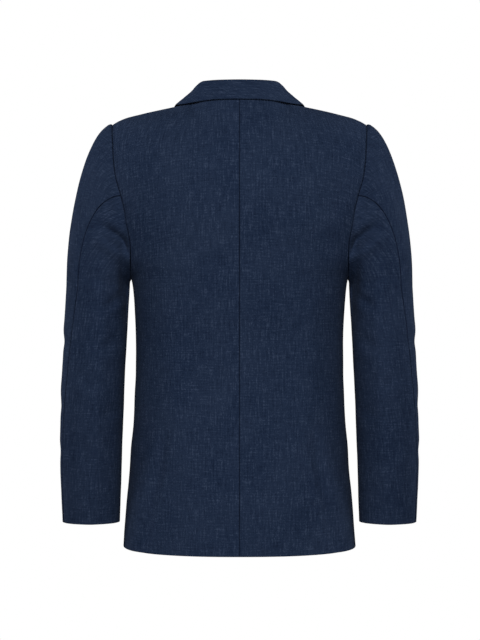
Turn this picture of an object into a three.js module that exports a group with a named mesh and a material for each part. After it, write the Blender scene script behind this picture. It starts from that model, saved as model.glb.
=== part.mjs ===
// A single-breasted blazer, filled out as when worn and empty inside.
// Millimetres, +Z up. The back faces +Y, the front faces -Y and the wearer's left is +X.
// The origin lies midway between the shoulder points, at their height.

import * as THREE from 'three';

// Cloth
const WALL = 1.8;
const SEAM_GAP = 0.3;
const REST_GAP = 0.35;

// Levels
const HEM_Z = -680;
const UNDERARM_Z = -248;
const BACK_YOKE_Z = -60;
const FRONT_YOKE_Z = -100;

// Section shape: exponents of the rounded back and front
const BACK_ROUND = 2.35;
const FRONT_ROUND = 2.2;

// Body sections from hem to yoke. Above the underarm the half width is that of the
// full round, which the armhole then cuts.
const BODY = [
  { z: -680, halfWidth: 187.5, back: 132, front: 150 },
  { z: -640, halfWidth: 184.7, back: 129.5, front: 148 },
  { z: -600, halfWidth: 181.5, back: 127, front: 146 },
  { z: -560, halfWidth: 177.4, back: 122, front: 143 },
  { z: -520, halfWidth: 175, back: 117, front: 140 },
  { z: -478, halfWidth: 171, back: 111, front: 136.5 },
  { z: -440, halfWidth: 169.5, back: 106, front: 133 },
  { z: -400, halfWidth: 167.8, back: 102.5, front: 130.5 },
  { z: -350, halfWidth: 167.7, back: 101.5, front: 129 },
  { z: -300, halfWidth: 169.5, back: 107, front: 130 },
  { z: -267, halfWidth: 172.2, back: 110, front: 132 },
  { z: -248, halfWidth: 175.5, back: 111.5, front: 133.5 },
  { z: -235, halfWidth: 183.5, back: 112.2, front: 134.5 },
  { z: -219, halfWidth: 194, back: 113, front: 135.5 },
  { z: -190, halfWidth: 205, back: 115.5, front: 135.5 },
  { z: -153, halfWidth: 212.5, back: 119, front: 133.5 },
  { z: -120, halfWidth: 215, back: 119.5, front: 129 },
  { z: -93, halfWidth: 217, back: 118, front: 121 },
  { z: -60, halfWidth: 215, back: 110, front: 104 },
];

// Depth of the armhole edge from the shoulder line, behind and in front of it
const ARMHOLE_BACK = [
  { z: -246, depth: 22 },
  { z: -243, depth: 30 },
  { z: -235, depth: 46 },
  { z: -219, depth: 62 },
  { z: -190, depth: 72 },
  { z: -153, depth: 74 },
  { z: -120, depth: 69.5 },
  { z: -93, depth: 62 },
  { z: -60, depth: 49.2 },
];
const ARMHOLE_FRONT = [
  { z: -231, depth: 58 },
  { z: -219, depth: 70 },
  { z: -200, depth: 81 },
  { z: -160, depth: 84 },
  { z: -125, depth: 79 },
  { z: -100, depth: 72 },
];

// Height of the side body's top edge, from the back seam to the front seam
const ARMHOLE_FLOOR = [
  { along: 0, z: -246 },
  { along: 0.3, z: -248.5 },
  { along: 0.6, z: -246.5 },
  { along: 0.85, z: -238 },
  { along: 1, z: -231 },
];

// Seams of the side body: how far they lie behind and in front of the shoulder line
const BACK_SEAM_DEPTH = 22;
const FRONT_SEAM = [
  { z: -680, depth: 96 },
  { z: -600, depth: 92 },
  { z: -440, depth: 84 },
  { z: -370, depth: 80 },
  { z: -300, depth: 71 },
  { z: -262, depth: 63 },
  { z: -231, depth: 58 },
];

// Front edge from the hem's rounded corner to the break of the lapel, by its x
const FRONT_EDGE = [
  { z: -680, x: 88 },
  { z: -676, x: 70 },
  { z: -667, x: 51 },
  { z: -650, x: 31 },
  { z: -620, x: 12 },
  { z: -570, x: -5 },
  { z: -520, x: -14 },
  { z: -470, x: -18 },
  { z: -335, x: -18 },
];
const BREAK = { x: -18, z: -335 };

// Top edge of the back over its yoke columns, each given by its x at the yoke: the neck
// seam out from the centre, then the shoulder ridge. The pitch is the cloth's slope there,
// rising forwards.
// A first row past the centre keeps the curve level where it crosses.
const BACK_NECK = [
  { yoke: -29, x: -30, y: 63, z: 41.8, pitch: 61 },
  { yoke: 0, x: 0, y: 66, z: 42, pitch: 62 },
  { yoke: 29, x: 30, y: 63, z: 41.8, pitch: 61 },
  { yoke: 53, x: 55, y: 53, z: 40.5, pitch: 54 },
  { yoke: 69, x: 72, y: 35, z: 37.5, pitch: 36 },
  { yoke: 77, x: 79.8, y: 21, z: 35.3, pitch: 14 },
  { yoke: 83, x: 82, y: 8, z: 33.5, pitch: -6 },
];
const RIDGE = [
  { yoke: 83, x: 82, y: 8, z: 33.5, pitch: -6 },
  { yoke: 102, x: 104, y: 6, z: 27.9, pitch: 0 },
  { yoke: 118, x: 121, y: 5, z: 24.3, pitch: 0 },
  { yoke: 139, x: 142, y: 3, z: 19.9, pitch: 0 },
  { yoke: 159.5, x: 163, y: 2, z: 15.2, pitch: 0 },
  { yoke: 177, x: 181, y: 1, z: 11, pitch: 0 },
  { yoke: 190.7, x: 195, y: 0, z: 5.6, pitch: 0 },
  { yoke: 200.5, x: 205, y: 0, z: 0, pitch: 0 },
];
const NECK_YOKE = 83;
const SHOULDER_YOKE = 200.5;

// Sleeve rings from the underarm to the cuff
const SLEEVE_RING_Z = -262;
const CUFF_Z = -647;
const SLEEVE = [
  { z: -262, inner: 177.5, outer: 280, back: 66, front: -64 },
  { z: -330, inner: 181.5, outer: 283.8, back: 62, front: -62 },
  { z: -400, inner: 185.5, outer: 287.4, back: 56, front: -62 },
  { z: -480, inner: 189.5, outer: 291.6, back: 42, front: -68 },
  { z: -560, inner: 193, outer: 292.8, back: 26, front: -72 },
  { z: -647, inner: 196.5, outer: 290.3, back: 7, front: -77 },
];

// Angles of the sleeve's two seams about its axis: 0 is outward, 90 is back
const SLEEVE_SEAMS = [
  { z: -262, elbow: 58, forearm: 240 },
  { z: -330, elbow: 49, forearm: 239 },
  { z: -400, elbow: 41, forearm: 238 },
  { z: -480, elbow: 33, forearm: 237 },
  { z: -560, elbow: 27, forearm: 236 },
  { z: -647, elbow: 22, forearm: 235 },
];
const ELBOW_SEAM_TOP_Z = -120;
const FOREARM_SEAM_TOP_Z = -219;
const VENT_TOP_Z = -570;
const VENT_OPENING = 3;

// Smooth curve through one column of a table, against another column
function smooth(table, along, column) {
  const rows = [...table].sort((before, after) => before[along] - after[along]);
  const xs = rows.map((row) => row[along]);
  const ys = rows.map((row) => row[column]);
  const last = xs.length - 1;
  const slope = (i) => (ys[i + 1] - ys[i]) / (xs[i + 1] - xs[i]);
  const tangents = xs.map((_, i) => {
    if (i === 0) return slope(0);
    if (i === last) return slope(last - 1);
    const before = slope(i - 1);
    const after = slope(i);
    if (before * after <= 0) return 0;
    return (2 * before * after) / (before + after);
  });
  return (x) => {
    if (x <= xs[0]) return ys[0] + tangents[0] * (x - xs[0]);
    if (x >= xs[last]) return ys[last] + tangents[last] * (x - xs[last]);
    let i = 0;
    while (x > xs[i + 1]) i += 1;
    const span = xs[i + 1] - xs[i];
    const t = (x - xs[i]) / span;
    const t2 = t * t;
    const t3 = t2 * t;
    return (2 * t3 - 3 * t2 + 1) * ys[i] + (t3 - 2 * t2 + t) * span * tangents[i]
      + (3 * t2 - 2 * t3) * ys[i + 1] + (t3 - t2) * span * tangents[i + 1];
  };
}

const halfWidthAt = smooth(BODY, 'z', 'halfWidth');
const backDepthAt = smooth(BODY, 'z', 'back');
const frontDepthAt = smooth(BODY, 'z', 'front');
const armholeBackAt = smooth(ARMHOLE_BACK, 'z', 'depth');
const armholeFrontAt = smooth(ARMHOLE_FRONT, 'z', 'depth');
const armholeFloorAt = smooth(ARMHOLE_FLOOR, 'along', 'z');
const frontSeamAt = smooth(FRONT_SEAM, 'z', 'depth');
const frontEdgeAt = smooth(FRONT_EDGE, 'z', 'x');
const sleeveInnerAt = smooth(SLEEVE, 'z', 'inner');
const sleeveOuterAt = smooth(SLEEVE, 'z', 'outer');
const sleeveBackAt = smooth(SLEEVE, 'z', 'back');
const sleeveFrontAt = smooth(SLEEVE, 'z', 'front');
const elbowAngleAt = smooth(SLEEVE_SEAMS, 'z', 'elbow');
const forearmAngleAt = smooth(SLEEVE_SEAMS, 'z', 'forearm');

// Small step across or along a surface, as a share of it
const STEP = 1e-4;

const vec = (x, y, z) => new THREE.Vector3(x, y, z);
const lerp = THREE.MathUtils.lerp;
const radians = THREE.MathUtils.degToRad;
const signedPower = (value, power) => Math.sign(value) * Math.abs(value) ** power;

// Point of the left half's round at an angle from the centre back (0) to the centre front
function bodyPoint(angle, z) {
  const isBack = Math.cos(angle) > 0;
  const power = 2 / (isBack ? BACK_ROUND : FRONT_ROUND);
  const depth = isBack ? backDepthAt(z) : frontDepthAt(z);
  return vec(
    halfWidthAt(z) * signedPower(Math.sin(angle), power),
    depth * signedPower(Math.cos(angle), power),
    z,
  );
}

// Angle at which the back lies a given depth behind the shoulder line
function backAngle(depth, z) {
  return Math.acos((depth / backDepthAt(z)) ** (BACK_ROUND / 2));
}

// Angle at which the front lies a given depth before the shoulder line
function frontAngle(depth, z) {
  return Math.PI - Math.acos((depth / frontDepthAt(z)) ** (FRONT_ROUND / 2));
}

// Angle at which the front has a given x
function frontAngleOfX(x, z) {
  return Math.PI - Math.asin(signedPower(x / halfWidthAt(z), FRONT_ROUND / 2));
}

// Cubic between two points with given end tangents
function hermite(start, startTangent, end, endTangent, t) {
  const t2 = t * t;
  const t3 = t2 * t;
  return start.clone().multiplyScalar(2 * t3 - 3 * t2 + 1)
    .addScaledVector(startTangent, t3 - 2 * t2 + t)
    .addScaledVector(end, 3 * t2 - 2 * t3)
    .addScaledVector(endTangent, t3 - t2);
}

// Place and pitch of the top edge at a column of the yoke
const TOP_COLUMNS = ['x', 'y', 'z', 'pitch'];
const neckAt = TOP_COLUMNS.map((column) => smooth(BACK_NECK, 'yoke', column));
const ridgeAt = TOP_COLUMNS.map((column) => smooth(RIDGE, 'yoke', column));

function topEdge(yoke) {
  const [x, y, z, pitch] = (yoke < NECK_YOKE ? neckAt : ridgeAt).map((column) => column(yoke));
  return { end: vec(x, y, z), pitch: radians(pitch) };
}

// Yoke of a panel: a column from its last level section over to its top edge
const YOKE_FULLNESS = 1.08;

function yokePoint(levelPoint, yokeZ, yoke, towards, rise) {
  const start = levelPoint(yokeZ);
  const { end, pitch } = topEdge(yoke);
  const reach = end.distanceTo(start) * YOKE_FULLNESS;
  const startTangent = start.clone().sub(levelPoint(yokeZ - 1)).setX(0).setLength(reach);
  const endTangent = vec(0, Math.cos(pitch), -Math.sin(pitch)).multiplyScalar(towards * reach);
  const point = hermite(start, startTangent, end, endTangent, rise);
  const climbed = (point.z - start.z) / (end.z - start.z);
  point.x = lerp(start.x, end.x, climbed);
  return point;
}

// Panel levels: 0 at the hem, 1 at the yoke, 2 at the top edge
const levelOf = (z, yokeZ) => (z - HEM_Z) / (yokeZ - HEM_Z);

// Back: across runs from the centre seam (0) to the side seam or armhole (1)
function backPoint(across, level) {
  const levelPoint = (z) => {
    const edgeDepth = z <= ARMHOLE_BACK[0].z ? BACK_SEAM_DEPTH : armholeBackAt(z);
    return bodyPoint(across * backAngle(edgeDepth, z), z);
  };
  if (level <= 1) return levelPoint(lerp(HEM_Z, BACK_YOKE_Z, level));
  return yokePoint(levelPoint, BACK_YOKE_Z, levelPoint(BACK_YOKE_Z).x, -1, level - 1);
}

// Column of the back whose yoke lies at a given x
function backAcross(yoke) {
  return solve((across) => backPoint(across, 1).x, yoke, 0, 1);
}

// Value at which a rising function reaches a target, by halving
const HALVINGS = 40;

function solve(rising, target, low, high) {
  let from = low;
  let to = high;
  for (let round = 0; round < HALVINGS; round += 1) {
    const middle = (from + to) / 2;
    if (rising(middle) < target) from = middle;
    else to = middle;
  }
  return (from + to) / 2;
}

// Roll line of the lapel, straight from the break to the neck end of the shoulder
function rollX(z) {
  const neck = topEdge(NECK_YOKE).end;
  return lerp(BREAK.x, neck.x, (z - BREAK.z) / (neck.z - BREAK.z));
}

const frontInnerX = (z) => (z <= BREAK.z ? frontEdgeAt(z) : rollX(z));

// Front level point: across runs from the front edge (0) to the side seam or armhole (1)
function frontLevelPoint(across, z) {
  const outerDepth = z <= ARMHOLE_FRONT[0].z ? frontSeamAt(z) : armholeFrontAt(z);
  const inner = frontAngleOfX(frontInnerX(z), z);
  const outer = frontAngle(outerDepth, z);
  return bodyPoint(lerp(inner, outer, across), z);
}

function frontPoint(across, level) {
  if (level <= 1) return frontLevelPoint(across, lerp(HEM_Z, FRONT_YOKE_Z, level));
  const innerX = frontLevelPoint(0, FRONT_YOKE_Z).x;
  const outerX = frontLevelPoint(1, FRONT_YOKE_Z).x;
  const share = (frontLevelPoint(across, FRONT_YOKE_Z).x - innerX) / (outerX - innerX);
  const yoke = lerp(NECK_YOKE, SHOULDER_YOKE, share);
  return yokePoint((z) => frontLevelPoint(across, z), FRONT_YOKE_Z, yoke, 1, level - 1);
}

// Under front: it sinks by a wall and a gap where the left front laps over it
const LAP_START_X = 60;
const LAP_FULL_X = 24;
const LAP_GAP = 0.45;
const LAP_DEPTH = WALL + LAP_GAP;

function underFrontPoint(across, level) {
  const point = frontPoint(across, level);
  const lapped = 1 - THREE.MathUtils.smoothstep(point.x, LAP_FULL_X, LAP_START_X);
  point.y += LAP_DEPTH * lapped;
  return point;
}

// Side body: across runs from the back seam (0) to the front seam (1), up from hem to armhole
const SIDE_TURN_Z = -285;
const SIDE_TURN = (SIDE_TURN_Z - HEM_Z) / (UNDERARM_Z - HEM_Z);

function sidePoint(across, up) {
  const z = up <= SIDE_TURN
    ? lerp(HEM_Z, SIDE_TURN_Z, up / SIDE_TURN)
    : lerp(SIDE_TURN_Z, armholeFloorAt(across), (up - SIDE_TURN) / (1 - SIDE_TURN));
  return bodyPoint(lerp(backAngle(BACK_SEAM_DEPTH, z), frontAngle(frontSeamAt(z), z), across), z);
}

// Unit normal of a surface given by a point function, by small steps
function surfaceNormal(point, u, v) {
  const alongU = point(u + STEP, v).sub(point(u - STEP, v));
  const alongV = point(u, v + STEP).sub(point(u, v - STEP));
  return alongU.cross(alongV).normalize();
}

// Share of a surface from its edge that moves the edge point by a given length
const INSET_ROUNDS = 8;

function inset(pointAt, length) {
  if (length === 0) return 0;
  const edge = pointAt(0);
  let step = STEP;
  for (let round = 0; round < INSET_ROUNDS; round += 1) {
    step *= length / pointAt(step).distanceTo(edge);
  }
  return step;
}

// Grid of outer and inner points of a cloth panel, its edges drawn in by the trims
function panelGrid({ us, vs, point, trim, facing = 1, wall = WALL }) {
  const lastU = us.length - 1;
  const lastV = vs.length - 1;
  const trimAt = (side, along) => (typeof side === 'function' ? side(along) : side);
  const outer = [];
  const inner = [];
  vs.forEach((baseV, j) => {
    us.forEach((baseU, i) => {
      let u = baseU;
      let v = baseV;
      if (i === 0) u += inset((step) => point(baseU + step, baseV), trimAt(trim.u0, baseV));
      if (i === lastU) u -= inset((step) => point(baseU - step, baseV), trimAt(trim.u1, baseV));
      if (j === 0) v += inset((step) => point(baseU, baseV + step), trimAt(trim.v0, baseU));
      if (j === lastV) v -= inset((step) => point(baseU, baseV - step), trimAt(trim.v1, baseU));
      const face = point(u, v);
      const normal = surfaceNormal(point, baseU, baseV).multiplyScalar(facing);
      outer.push(face);
      inner.push(face.clone().addScaledVector(normal, -wall));
    });
  });
  return { outer, inner, columns: us.length, rows: vs.length, facing };
}

// Closed wall between the outer and inner points of a grid
function wallGeometry({ outer, inner, columns, rows, facing }) {
  const count = outer.length;
  const at = (i, j) => j * columns + i;
  const triangles = [];
  const quad = (a, b, c, d) => triangles.push([a, b, c], [a, c, d]);
  for (let j = 0; j < rows - 1; j += 1) {
    for (let i = 0; i < columns - 1; i += 1) {
      const corners = [at(i, j), at(i + 1, j), at(i + 1, j + 1), at(i, j + 1)];
      quad(...corners);
      quad(...corners.reverse().map((k) => k + count));
    }
  }
  const rim = [];
  for (let i = 0; i < columns - 1; i += 1) rim.push([at(i, 0), at(i + 1, 0)]);
  for (let j = 0; j < rows - 1; j += 1) rim.push([at(columns - 1, j), at(columns - 1, j + 1)]);
  for (let i = columns - 1; i > 0; i -= 1) rim.push([at(i, rows - 1), at(i - 1, rows - 1)]);
  for (let j = rows - 1; j > 0; j -= 1) rim.push([at(0, j), at(0, j - 1)]);
  rim.forEach(([a, b]) => quad(b, a, a + count, b + count));
  const geometry = new THREE.BufferGeometry();
  geometry.setFromPoints([...outer, ...inner]);
  const ordered = facing > 0 ? triangles : triangles.map(([a, b, c]) => [a, c, b]);
  geometry.setIndex(ordered.flat());
  return geometry;
}

// The same geometry on the wearer's other side
function mirrored(geometry) {
  const copy = geometry.clone();
  copy.scale(-1, 1, 1);
  const index = Array.from(copy.index.array);
  for (let k = 0; k < index.length; k += 3) {
    [index[k + 1], index[k + 2]] = [index[k + 2], index[k + 1]];
  }
  copy.setIndex(index);
  return copy;
}

// Materials
const CLOTH_COLOUR = 0x1c2b40;
const BUTTON_COLOUR = 0x14161c;

function clothMaterial() {
  return new THREE.MeshStandardMaterial({ color: CLOTH_COLOUR, roughness: 0.9, metalness: 0 });
}

function buttonMaterial() {
  return new THREE.MeshStandardMaterial({ color: BUTTON_COLOUR, roughness: 0.35, metalness: 0 });
}

const blazer = new THREE.Group();

function addCloth(name, geometry) {
  geometry.computeVertexNormals();
  const mesh = new THREE.Mesh(geometry, clothMaterial());
  mesh.name = name;
  blazer.add(mesh);
}

// Grid lines of the panels
const HALF_GAP = SEAM_GAP / 2;
const EVEN_TRIM = { u0: HALF_GAP, u1: HALF_GAP, v0: 0, v1: HALF_GAP };

const NECK_ACROSS = backAcross(NECK_YOKE);
const NECK_SHARES = [0, 0.25, 0.5, 0.68, 0.85, 1];
const SHOULDER_SHARES = [0.12, 0.26, 0.4, 0.54, 0.68, 0.81, 0.92, 1];
const BACK_ACROSS = NECK_SHARES.map((share) => share * NECK_ACROSS)
  .concat(SHOULDER_SHARES.map((share) => lerp(NECK_ACROSS, 1, share)));
const YOKE_RISES = [0.15, 0.3, 0.45, 0.6, 0.74, 0.87, 1];
const LOWER_LEVELS = [-680, -670, -645, -605, -555, -510, -460, -410, -365, -335, -310,
  SIDE_TURN_Z];
const BACK_LEVELS = [...LOWER_LEVELS, (SIDE_TURN_Z + ARMHOLE_BACK[0].z) / 2,
  ...ARMHOLE_BACK.map((row) => row.z)]
  .map((z) => levelOf(z, BACK_YOKE_Z))
  .concat(YOKE_RISES.map((rise) => 1 + rise));

const backGrid = panelGrid({
  us: BACK_ACROSS,
  vs: BACK_LEVELS,
  point: backPoint,
  trim: EVEN_TRIM,
  facing: -1,
});
addCloth('back_left', wallGeometry(backGrid));
addCloth('back_right', mirrored(wallGeometry(backGrid)));

const SIDE_ACROSS = ARMHOLE_FLOOR.map((row) => row.along);
const SIDE_UPS = LOWER_LEVELS.map((z) => (z - HEM_Z) / (UNDERARM_Z - HEM_Z))
  .concat([(1 + SIDE_TURN) / 2, 1]);

const sideGrid = panelGrid({
  us: SIDE_ACROSS,
  vs: SIDE_UPS,
  point: sidePoint,
  trim: EVEN_TRIM,
  facing: -1,
});
addCloth('side_left', wallGeometry(sideGrid));
addCloth('side_right', mirrored(wallGeometry(sideGrid)));

const FRONT_ACROSS = [0, ...SHOULDER_SHARES].map((share) => {
  const yoke = backPoint(lerp(NECK_ACROSS, 1, share), 1).x;
  const yokeShare = (yoke - NECK_YOKE) / (SHOULDER_YOKE - NECK_YOKE);
  const [innerX, outerX] = [0, 1].map((across) => frontLevelPoint(across, FRONT_YOKE_Z).x);
  const x = lerp(innerX, outerX, yokeShare);
  return solve((across) => frontLevelPoint(across, FRONT_YOKE_Z).x, x, 0, 1);
});
const FRONT_LEVEL_ZS = [...LOWER_LEVELS, (SIDE_TURN_Z + ARMHOLE_FRONT[0].z) / 2,
  ...ARMHOLE_FRONT.map((row) => row.z)];
const FRONT_LEVELS = FRONT_LEVEL_ZS.map((z) => levelOf(z, FRONT_YOKE_Z))
  .concat(YOKE_RISES.map((rise) => 1 + rise));

const frontGrid = panelGrid({
  us: FRONT_ACROSS,
  vs: FRONT_LEVELS,
  point: frontPoint,
  trim: EVEN_TRIM,
  facing: 1,
});
addCloth('front_left', wallGeometry(frontGrid));
const underFrontGrid = panelGrid({
  us: FRONT_ACROSS,
  vs: FRONT_LEVELS,
  point: underFrontPoint,
  trim: EVEN_TRIM,
  facing: 1,
});
addCloth('front_right', mirrored(wallGeometry(underFrontGrid)));

// Sleeve: columns start at the points of the armhole edge and run down to the cuff
function sleeveRing(angleDegrees, z) {
  const angle = radians(angleDegrees);
  const inner = sleeveInnerAt(z);
  const outer = sleeveOuterAt(z);
  const back = sleeveBackAt(z);
  const front = sleeveFrontAt(z);
  return vec(
    (inner + outer) / 2 + ((outer - inner) / 2) * Math.cos(angle),
    (back + front) / 2 + ((back - front) / 2) * Math.sin(angle),
    z,
  );
}

// Points along the armhole edge with the way the cloth leaves them, from the shoulder
// round the back and the underarm to the front and back to the shoulder
function armholeEdge() {
  const edge = [];
  const take = (point, u, v, stepU, stepV, facing) => {
    const here = point(u, v);
    const before = point(u - stepU * STEP, v - stepV * STEP);
    const leaving = here.clone().sub(before).normalize();
    edge.push({ here, leaving, out: surfaceNormal(point, u, v).multiplyScalar(facing) });
  };
  const backStart = LOWER_LEVELS.length + 1;
  for (let j = BACK_LEVELS.length - 1; j > backStart; j -= 1) {
    take(backPoint, 1, BACK_LEVELS[j], 1, 0, -1);
  }
  SIDE_ACROSS.forEach((across) => take(sidePoint, across, 1, 0, 1, -1));
  const frontStart = FRONT_LEVEL_ZS.indexOf(ARMHOLE_FRONT[0].z) + 1;
  for (let j = frontStart; j < FRONT_LEVELS.length - 1; j += 1) {
    take(frontPoint, 1, FRONT_LEVELS[j], 1, 0, 1);
  }
  return edge;
}

const armhole = armholeEdge();
const armholeCount = armhole.length;
const isAt = ({ here }, z) => Math.abs(here.z - z) < 1;
const elbowIndex = armhole.findIndex((place) => place.here.y > 0 && isAt(place, ELBOW_SEAM_TOP_Z));
const forearmIndex = armhole.findIndex((place) => place.here.y < 0 && isAt(place, FOREARM_SEAM_TOP_Z));

// Lengths along the armhole, from the shoulder to each of its points and once more round
const armholeLengths = [0];
for (let k = 1; k <= 2 * armholeCount; k += 1) {
  const before = armhole[(k - 1) % armholeCount].here;
  const here = armhole[k % armholeCount].here;
  armholeLengths.push(armholeLengths[k - 1] + here.distanceTo(before));
}

function betweenPoints(values, position) {
  const k = Math.floor(position);
  return lerp(values(k), values(k + 1), position - k);
}

const lengthAt = (position) => betweenPoints((k) => armholeLengths[k], position);

// Start of a sleeve column: place on the armhole edge and way out of it
const HEAD_LOW_Z = -248;
const HEAD_HIGH_Z = -120;
const HEAD_FOLLOW = 0.6;

function sleeveStart(index) {
  const { here, leaving, out } = armhole[index % armholeCount];
  const high = THREE.MathUtils.smoothstep(here.z, HEAD_LOW_Z, HEAD_HIGH_Z);
  const follow = HEAD_FOLLOW * high;
  const way = leaving.clone().multiplyScalar(follow).addScaledVector(out, 1 - follow).normalize();
  return { here: here.clone().addScaledVector(way, HALF_GAP), way, high };
}

// Angle of a sleeve column about the sleeve's axis at a given height
function columnAngle(position, z) {
  const elbow = elbowAngleAt(z);
  const forearm = forearmAngleAt(z);
  const elbowLength = armholeLengths[elbowIndex];
  const forearmLength = armholeLengths[forearmIndex];
  const turn = armholeLengths[armholeCount];
  if (position <= forearmIndex) {
    const share = (lengthAt(position) - elbowLength) / (forearmLength - elbowLength);
    return lerp(elbow, forearm, share);
  }
  const share = (lengthAt(position) - forearmLength) / (turn + elbowLength - forearmLength);
  return lerp(forearm, elbow + 360, share);
}

// Sleeve: position runs along the armhole's points, level from the armhole (0) over the
// ring below it (1) to the cuff (2)
const HEAD_REACH = 0.14;
const HEAD_SIDE_REACH = 0.17;
const HEAD_DROP = 0.45;
const ARMHOLE_HALF_DEPTH = 74;

function sleeveColumnPoint(index, angle, level) {
  const { here, way, high } = sleeveStart(index);
  const ring = sleeveRing(angle, SLEEVE_RING_Z);
  const length = ring.distanceTo(here);
  const sideways = (here.y / ARMHOLE_HALF_DEPTH) ** 2;
  const reach = length * (HEAD_REACH + HEAD_SIDE_REACH * sideways * high);
  const curve = new THREE.CubicBezierCurve3(
    here,
    here.clone().addScaledVector(way, reach),
    ring.clone().setZ(ring.z + length * HEAD_DROP),
    ring,
  );
  return curve.getPoint(level);
}

function sleevePoint(position, level) {
  if (level > 1) {
    const z = lerp(SLEEVE_RING_Z, CUFF_Z, level - 1);
    return sleeveRing(columnAngle(position, z), z);
  }
  const angle = columnAngle(position, SLEEVE_RING_Z);
  const index = Math.floor(position);
  const before = sleeveColumnPoint(index, angle, level);
  const after = sleeveColumnPoint(index + 1, angle, level);
  return before.lerp(after, position - index);
}

const sleeveLevel = (z) => 1 + (z - SLEEVE_RING_Z) / (CUFF_Z - SLEEVE_RING_Z);
const SLEEVE_LEVELS = [0, 0.12, 0.28, 0.46, 0.66, 0.84, 1]
  .concat([-300, -345, -395, -445, -495, -540, -570, -610, CUFF_Z].map(sleeveLevel));

const range = (from, to) => Array.from({ length: to - from + 1 }, (_, k) => from + k);

// Vent: the two edges of the elbow seam part towards the cuff
function elbowTrim(level) {
  const opened = Math.max(0, (level - sleeveLevel(VENT_TOP_Z)) / (2 - sleeveLevel(VENT_TOP_Z)));
  return HALF_GAP + (VENT_OPENING / 2) * opened;
}

const underSleeve = wallGeometry(panelGrid({
  us: range(elbowIndex, forearmIndex),
  vs: SLEEVE_LEVELS,
  point: sleevePoint,
  trim: { u0: elbowTrim, u1: HALF_GAP, v0: HALF_GAP, v1: 0 },
  facing: -1,
}));
addCloth('sleeve_under_left', underSleeve);
addCloth('sleeve_under_right', mirrored(underSleeve));

const topSleeve = wallGeometry(panelGrid({
  us: range(forearmIndex, armholeCount + elbowIndex),
  vs: SLEEVE_LEVELS,
  point: sleevePoint,
  trim: { u0: HALF_GAP, u1: elbowTrim, v0: HALF_GAP, v1: 0 },
  facing: -1,
}));
addCloth('sleeve_top_left', topSleeve);
addCloth('sleeve_top_right', mirrored(topSleeve));

// Neck seam: 0 at the centre back, 1 at the shoulder, 2 where the roll line meets the gorge
const GORGE_RISE = 1.345;

function neckSeam(along) {
  const place = (t) => (t <= 1
    ? topEdge(NECK_YOKE * t).end
    : frontPoint(0, lerp(2, GORGE_RISE, t - 1)));
  const onFront = along >= 1;
  const near = onFront ? along : along + STEP;
  const ahead = place(near + STEP).sub(place(near - STEP * (onFront ? 0 : 1))).normalize();
  const out = onFront
    ? surfaceNormal(frontPoint, STEP, lerp(2, GORGE_RISE, along - 1))
    : surfaceNormal(backPoint, backAcross(NECK_YOKE * along), 2).negate();
  return { here: place(along), leaving: ahead.cross(out).normalize(), out };
}

// Point and normal of a panel seen straight from the front or back at x and z
const LOWEST_LEVEL = 0.02;

function onPanel(point, facing, x, z) {
  const levelFor = (across) => solve((level) => point(across, level).z, z, LOWEST_LEVEL, 2);
  const across = solve((u) => point(u, levelFor(u)).x, x, STEP, 1);
  const level = levelFor(across);
  return {
    here: point(across, level),
    out: surfaceNormal(point, across, level).multiplyScalar(facing),
  };
}

// Collar stations from the centre back to the gorge: place on the neck seam, top of the
// fold, foot of the leaf's edge on the cloth below, and how far the leaf swells
const COLLAR = [
  { along: 0, foldX: 0, foldY: 55, foldZ: 63, edgeX: 0, edgeZ: 30.5, swell: 1.5 },
  { along: 0.35, foldX: 31, foldY: 53, foldZ: 63, edgeX: 33, edgeZ: 30.3, swell: 1.5 },
  { along: 0.64, foldX: 55, foldY: 46, foldZ: 62.4, edgeX: 61, edgeZ: 28.8, swell: 1.5 },
  { along: 0.83, foldX: 66, foldY: 33, foldZ: 57.5, edgeX: 79, edgeZ: 26.8, swell: 1 },
  { along: 0.93, foldX: 72, foldY: 20, foldZ: 52.5, edgeX: 91, edgeZ: 25.6, swell: 0.6 },
  { along: 1, foldX: 75.5, foldY: 6, foldZ: 48.5, edgeX: 101, edgeZ: 28.4, swell: 0.5 },
  { along: 1.2, foldX: 76.5, foldY: -17, foldZ: 39.5, edgeX: 109, edgeZ: 19.5, swell: 2.2 },
  { along: 1.45, foldX: 74, foldY: -46, foldZ: 21.5, edgeX: 113.5, edgeZ: 1, swell: 3 },
  { along: 1.75, foldX: 65.5, foldY: -74.5, foldZ: -8, edgeX: 107, edgeZ: -41, swell: 2.5 },
  { along: 2, foldX: 58.8, foldY: -91.7, foldZ: -36.3, edgeX: 87, edgeZ: -65.2, swell: 0.8 },
];
const FOLD_RADIUS = 2.8;
const LEAF_LEAN = 1.2;

const collarStations = COLLAR.map((row) => {
  const [point, facing] = row.along <= 1 ? [backPoint, -1] : [frontPoint, 1];
  const foot = onPanel(point, facing, row.edgeX, row.edgeZ);
  const edge = foot.here.addScaledVector(foot.out, WALL + REST_GAP);
  return { ...row, edgeX: edge.x, edgeY: edge.y, edgeZ: edge.z };
});
const [, besideCentre] = collarStations;
collarStations.unshift({
  ...besideCentre,
  along: -besideCentre.along,
  foldX: -besideCentre.foldX,
  edgeX: -besideCentre.edgeX,
});
const pointAlong = (name) => {
  const columns = ['X', 'Y', 'Z'].map((axis) => smooth(collarStations, 'along', name + axis));
  return (along) => vec(...columns.map((column) => column(along)));
};
const collarEdgeAt = pointAlong('edge');
const collarFoldAt = pointAlong('fold');
const collarSwellAt = smooth(collarStations, 'along', 'swell');

// Start of the stand: the more it rises from the panel, the further in its foot lies
function collarStart(along) {
  const { here, leaving, out } = neckSeam(along);
  const rising = Math.max(0, collarFoldAt(along).sub(here).normalize().dot(out));
  return here.addScaledVector(leaving, SEAM_GAP + WALL * rising).addScaledVector(out, -WALL);
}

// Collar section: the stand, the round of the fold and the leaf share the way over
const STAND_SHARE = 0.2;
const FOLD_SHARE = 0.5;

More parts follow.
